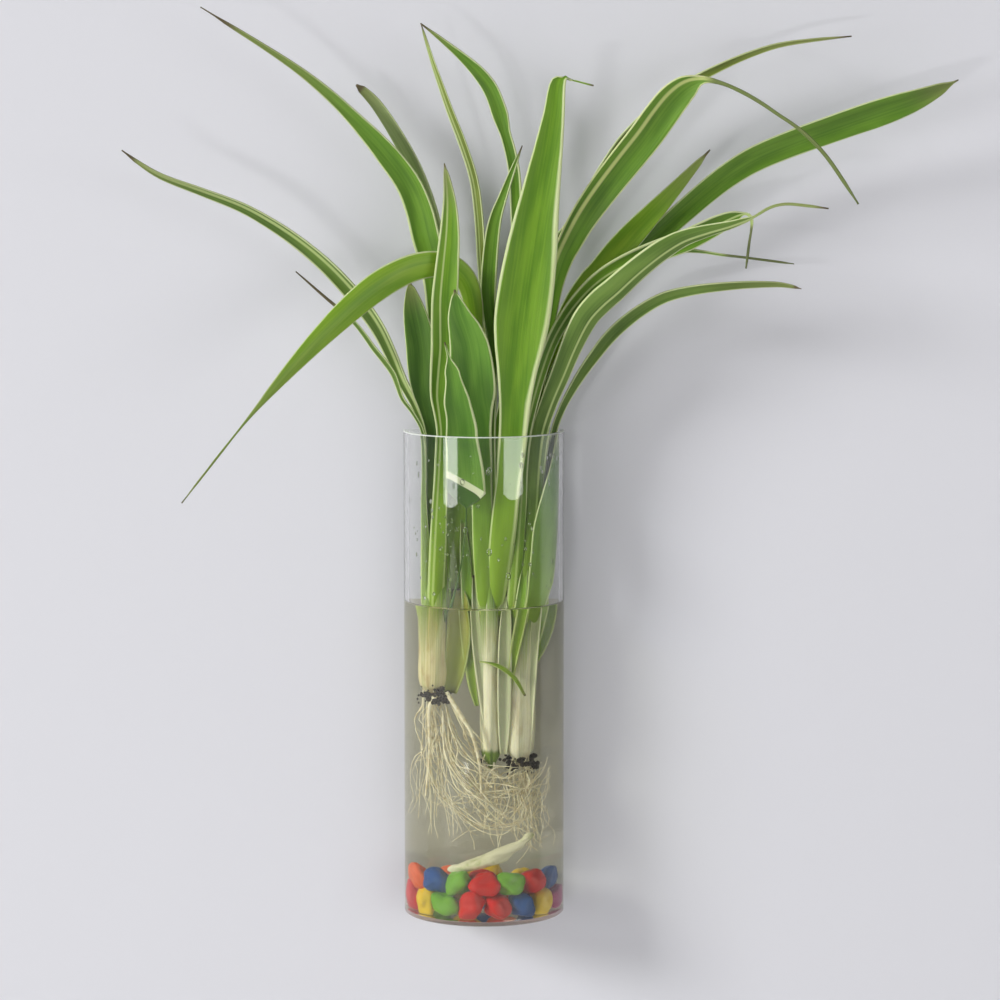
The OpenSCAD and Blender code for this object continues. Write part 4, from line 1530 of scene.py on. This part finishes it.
# The leaf bases and the young leaf, which show inside the vase
WISPS = [
    Wisp("broad_base_right", BladeFinish(Leafing.SHADED, 0.7, 0.5), [
        (17, -19, -50, 5, 10), (19.5, -21, -38, 8, 20), (22, -22.5, -24, 11, 34),
        (24, -23, -8, 16, 42), (25.5, -22, 6, 18, 46), (28, -19.5, 20, 15, 52),
        (30, -15.5, 34, 10, 60), (31, -11, 45, 5, 70)]),
    Wisp("older_sheath_left", BladeFinish(Leafing.WILTED, 0.3, 0.4), [
        (-12.6, -18.5, -66.5, 5), (-11, -19.5, -56, 8), (-9.6, -20, -42, 9),
        (-9.8, -19, -30, 7.4), (-11, -17, -22, 4.4)], 0.5),
    Wisp("green_base_left", BladeFinish(Leafing.FRESH, 0.6, 0.2, dry=paint(104, 140, 52)), [
        (-2.6, -21, -72, 1.6), (-4.4, -21, -62, 3.2), (-6, -20, -46, 4.4),
        (-7, -18.5, -28, 5), (-8, -17, -8, 4.6), (-9, -16.5, 8, 2)]),
    Wisp("white_base_middle", BladeFinish(
        Leafing.PALE, 0.4, 0.4, cream=paint(240, 240, 212), foot=paint(246, 244, 222)), [
        (3.2, -21.5, -92, 1.6), (1.4, -22.5, -80, 2.8), (-0.6, -22.5, -64, 3.4),
        (-2.4, -21.5, -46, 3.6), (-3.4, -20, -30, 3.2), (-4, -18, -16, 2)], 0.6),
    Wisp("white_base_right", BladeFinish(
        Leafing.PALE, 0.5, 0.5, cream=paint(240, 242, 214), foot=paint(246, 244, 224)), [
        (16.8, -21, -92, 2.4), (17.6, -22, -78, 3.6), (18.4, -22.4, -62, 4.4),
        (19.6, -22, -44, 4.6), (21, -20.5, -30, 3.6), (22, -19, -20, 2)], 0.6),
    Wisp("green_base_right", BladeFinish(Leafing.FRESH, 0.5, 0.5), [
        (9.4, -23.5, -70, 0.8), (10.6, -24.5, -58, 2.4), (12.4, -25, -46, 3.8),
        (14.6, -24.5, -34, 4.4), (16.4, -23, -22, 4), (18, -21, -8, 2)], 0.4),
    # A real inner leaf, whose deep green and width also stand in for painted shade: the dark of a
    # shadowed gap behind the stems.
    Wisp("inner_leaf_left", BladeFinish(Leafing.DEEP, 0.4, 0.6), [
        (-12.6, -14.5, -40, 5), (-11, -15.5, -24, 12), (-10.4, -16, 0, 14.5),
        (-10.8, -16, 22, 12.5), (-12.6, -15.5, 44, 8), (-14.6, -15.5, 62, 4),
        (-15.8, -16, 78, 0.7)]),
    Wisp("back_base_right", BladeFinish(Leafing.LIME, 0.3, 0.3), [
        (16, -13, -58, 1.6), (19, -12, -48, 7), (21.5, -11, -38, 10),
        (23, -10.6, -29, 10), (22.5, -11, -20, 7), (21, -12, -10, 0.8)], 0.3),
    Wisp("white_base_centre", BladeFinish(
        Leafing.PALE, 0.2, 0.2, cream=paint(240, 242, 214), foot=paint(246, 244, 224)), [
        (7.4, -22, -93, 2.4), (7.8, -23.6, -80, 4.4), (8, -24.2, -62, 5.2),
        (8.2, -24, -46, 5), (8.4, -22.5, -34, 4), (8.6, -21, -24, 2)], 0.6),
    Wisp("young_leaf", BladeFinish(Leafing.FRESH, 0.2, 0.2), [
        (-1.5, -25.5, -52, 0.8), (3, -28, -52.6, 1.5), (8, -29.5, -55, 1.9),
        (12.7, -29, -59.5, 1.7), (16.5, -27, -67, 0.9)], 0.2)]

STEMS = [
    Stem("left", StemFinish(paint(232, 224, 178), paint(214, 204, 148), stain=0.6), (1.0, 3.0)),
    Stem("middle", StemFinish(
        green_from=-0.062, green_to=-0.02, stub_under=-0.0905), (0.0, 3.0)),
    Stem("right", StemFinish(green_from=-0.07, green_to=-0.026), (4.0, 3.0))]

# Routes of the left tuft: of its fine roots and of its two stout ones
NEST = [
    [(-18, -20, -74), (-20, -17, -100), (-10, -20, -118), (4, -24, -127),
     (16, -24, -120), (23, -22, -106)],
    [(-16, -24, -74), (-14, -27, -96), (-2, -28, -112), (10, -26, -122),
     (20, -20, -112), (22, -18, -104)],
    [(-15, -22, -70), (-10, -24, -88), (-2, -26, -98), (8, -27, -103), (15, -25, -100)],
    [(-14, -20, -72), (-12, -22, -95), (-3, -24, -108), (8, -25, -112),
     (18, -22, -106), (22, -20, -100)],
    [(-13, -21, -70), (-6, -22, -84), (0, -20, -100), (-4, -19, -112), (-12, -20, -118)]]
STOUT = [
    [(-14.4, -23, -66), (-9.5, -26, -74.4), (-4.5, -27, -84), (-1.5, -27, -98),
     (-1, -26.5, -111)],
    [(-19, -24, -67), (-22, -24, -74), (-21.5, -23, -92), (-23, -21, -112)]]

TUFTS = [
    Roots("left", 2, 11, NEST, 7, STOUT, crumbs=90,
          soil_at=(5.6, 5.9, 6.2, 5.3, 3.6, 4.6, 1.2)),
    Roots("middle", 2, 12, crumbs=8),
    Roots("right", 5, 13)]


@dataclass
class Plant:
    """The spider plant: its stems, roots and leaves."""

    vessel: Vessel

    def build(self) -> None:
        """Build every piece of the plant."""
        for stem in STEMS:
            stem.build()
        for part in [*TUFTS, *BLADES, *WISPS]:
            part.build(self.vessel)


# The studio


@dataclass
class Studio:
    """The wall, the floor, the lamps and the camera."""

    wall_gap: float = 0.4 * MM
    half_width: float = 1.6
    wall_top: float = 1.4
    floor_drop: float = 0.5
    floor_reach: float = 3.0
    sky: Colour = (0.97, 0.97, 1.0, 1.0)
    sky_strength: float = 0.2
    focal_length: float = 126.72
    camera_at: Point = (0.007, -1.531, 0.180)
    camera_towards: Point = (0.007, 0, 0.0148)

    def sheet(self, name: str, corners: Sequence[Point], material: Material) -> None:
        """Lay one flat sheet of the set.

        Args:
            name: Name of the sheet.
            corners: Its four corners, counted so that its face looks into the room.
            material: Its finish.
        """
        bm = bmesh.new()
        bm.faces.new([bm.verts.new(corner) for corner in corners])
        put_mesh(name, bm, material)

    @staticmethod
    def aim(made: bpy.types.Object, at: Point, towards: Point) -> None:
        """Set a lamp or the camera down and turn it towards a place."""
        made.location = at
        made.rotation_euler = (Vector(towards) - Vector(at)).to_track_quat("-Z", "Y").to_euler()

    def lamp(self, name: str, at: Point, size: tuple[float, float], power: float,
             mirrored: bool = True) -> None:
        """Hang one soft lamp that shines on the stud.

        Args:
            name: Name of the lamp.
            at: Where it hangs.
            size: Its width and height.
            power: Its power in watts.
            mirrored: Whether it shows, also in reflections.
        """
        light = bpy.data.lights.new(name, "AREA")
        light.shape = "RECTANGLE"
        light.size, light.size_y = size
        light.energy = power
        made = put(name, light)
        made.visible_camera = made.visible_glossy = made.visible_transmission = mirrored
        self.aim(made, at, (0, 0, 0))

    def camera(self) -> None:
        """Set the camera where the photographer stood."""
        lens = bpy.data.cameras.new("camera")
        lens.sensor_width = 36.0
        lens.lens = self.focal_length
        lens.clip_start = 0.01
        lens.clip_end = 20.0
        made = put("camera", lens)
        self.aim(made, self.camera_at, self.camera_towards)
        bpy.context.scene.camera = made

    def build(self) -> None:
        """Build the set."""
        wide, gap, top = self.half_width, self.wall_gap, self.wall_top
        far, drop = self.floor_reach, -self.floor_drop
        self.sheet("room_wall", [
            (-wide, gap, drop), (wide, gap, drop), (wide, gap, top), (-wide, gap, top)],
            Plaster().make("wall_paint"))
        self.sheet("room_floor", [
            (-far, far, drop), (-far, -far, drop), (far, -far, drop), (far, far, drop)],
            Mottled(paint(224, 223, 221), paint(216, 215, 213), 60.0, 0.8).make("floor_paint"))
        self.lamp("key_lamp", (-0.95, -2.0, -0.6), (0.3, 0.3), 27.0, False)
        self.lamp("raking_lamp", (-5.6, -2.67, 2.6), (1.7, 1.7), 395.0, False)
        self.lamp("left_window", (-1.72, -1.5, 0.018), (0.85, 0.5), 7.0)
        self.lamp("right_window", (1.4, -1.5, 0.07), (1.05, 0.54), 7.0)
        world = bpy.data.worlds.new("room_light")
        world.use_nodes = True
        sky = world.node_tree.nodes["Background"].inputs
        sky["Color"].default_value = self.sky
        sky["Strength"].default_value = self.sky_strength
        bpy.context.scene.world = world
        bpy.context.scene.view_settings.view_transform = "Standard"
        self.camera()


def main() -> None:
    """Build the set, the vase, what it holds and the plant."""
    logging.basicConfig(level=logging.INFO, format="%(message)s")
    vessel = Vessel()
    for assembly in (Studio(), Hanging(), vessel, Water(vessel), Pebbles(vessel), Sheath(),
                     Plant(vessel)):
        assembly.build()
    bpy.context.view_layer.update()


if __name__ == "__main__":
    main()
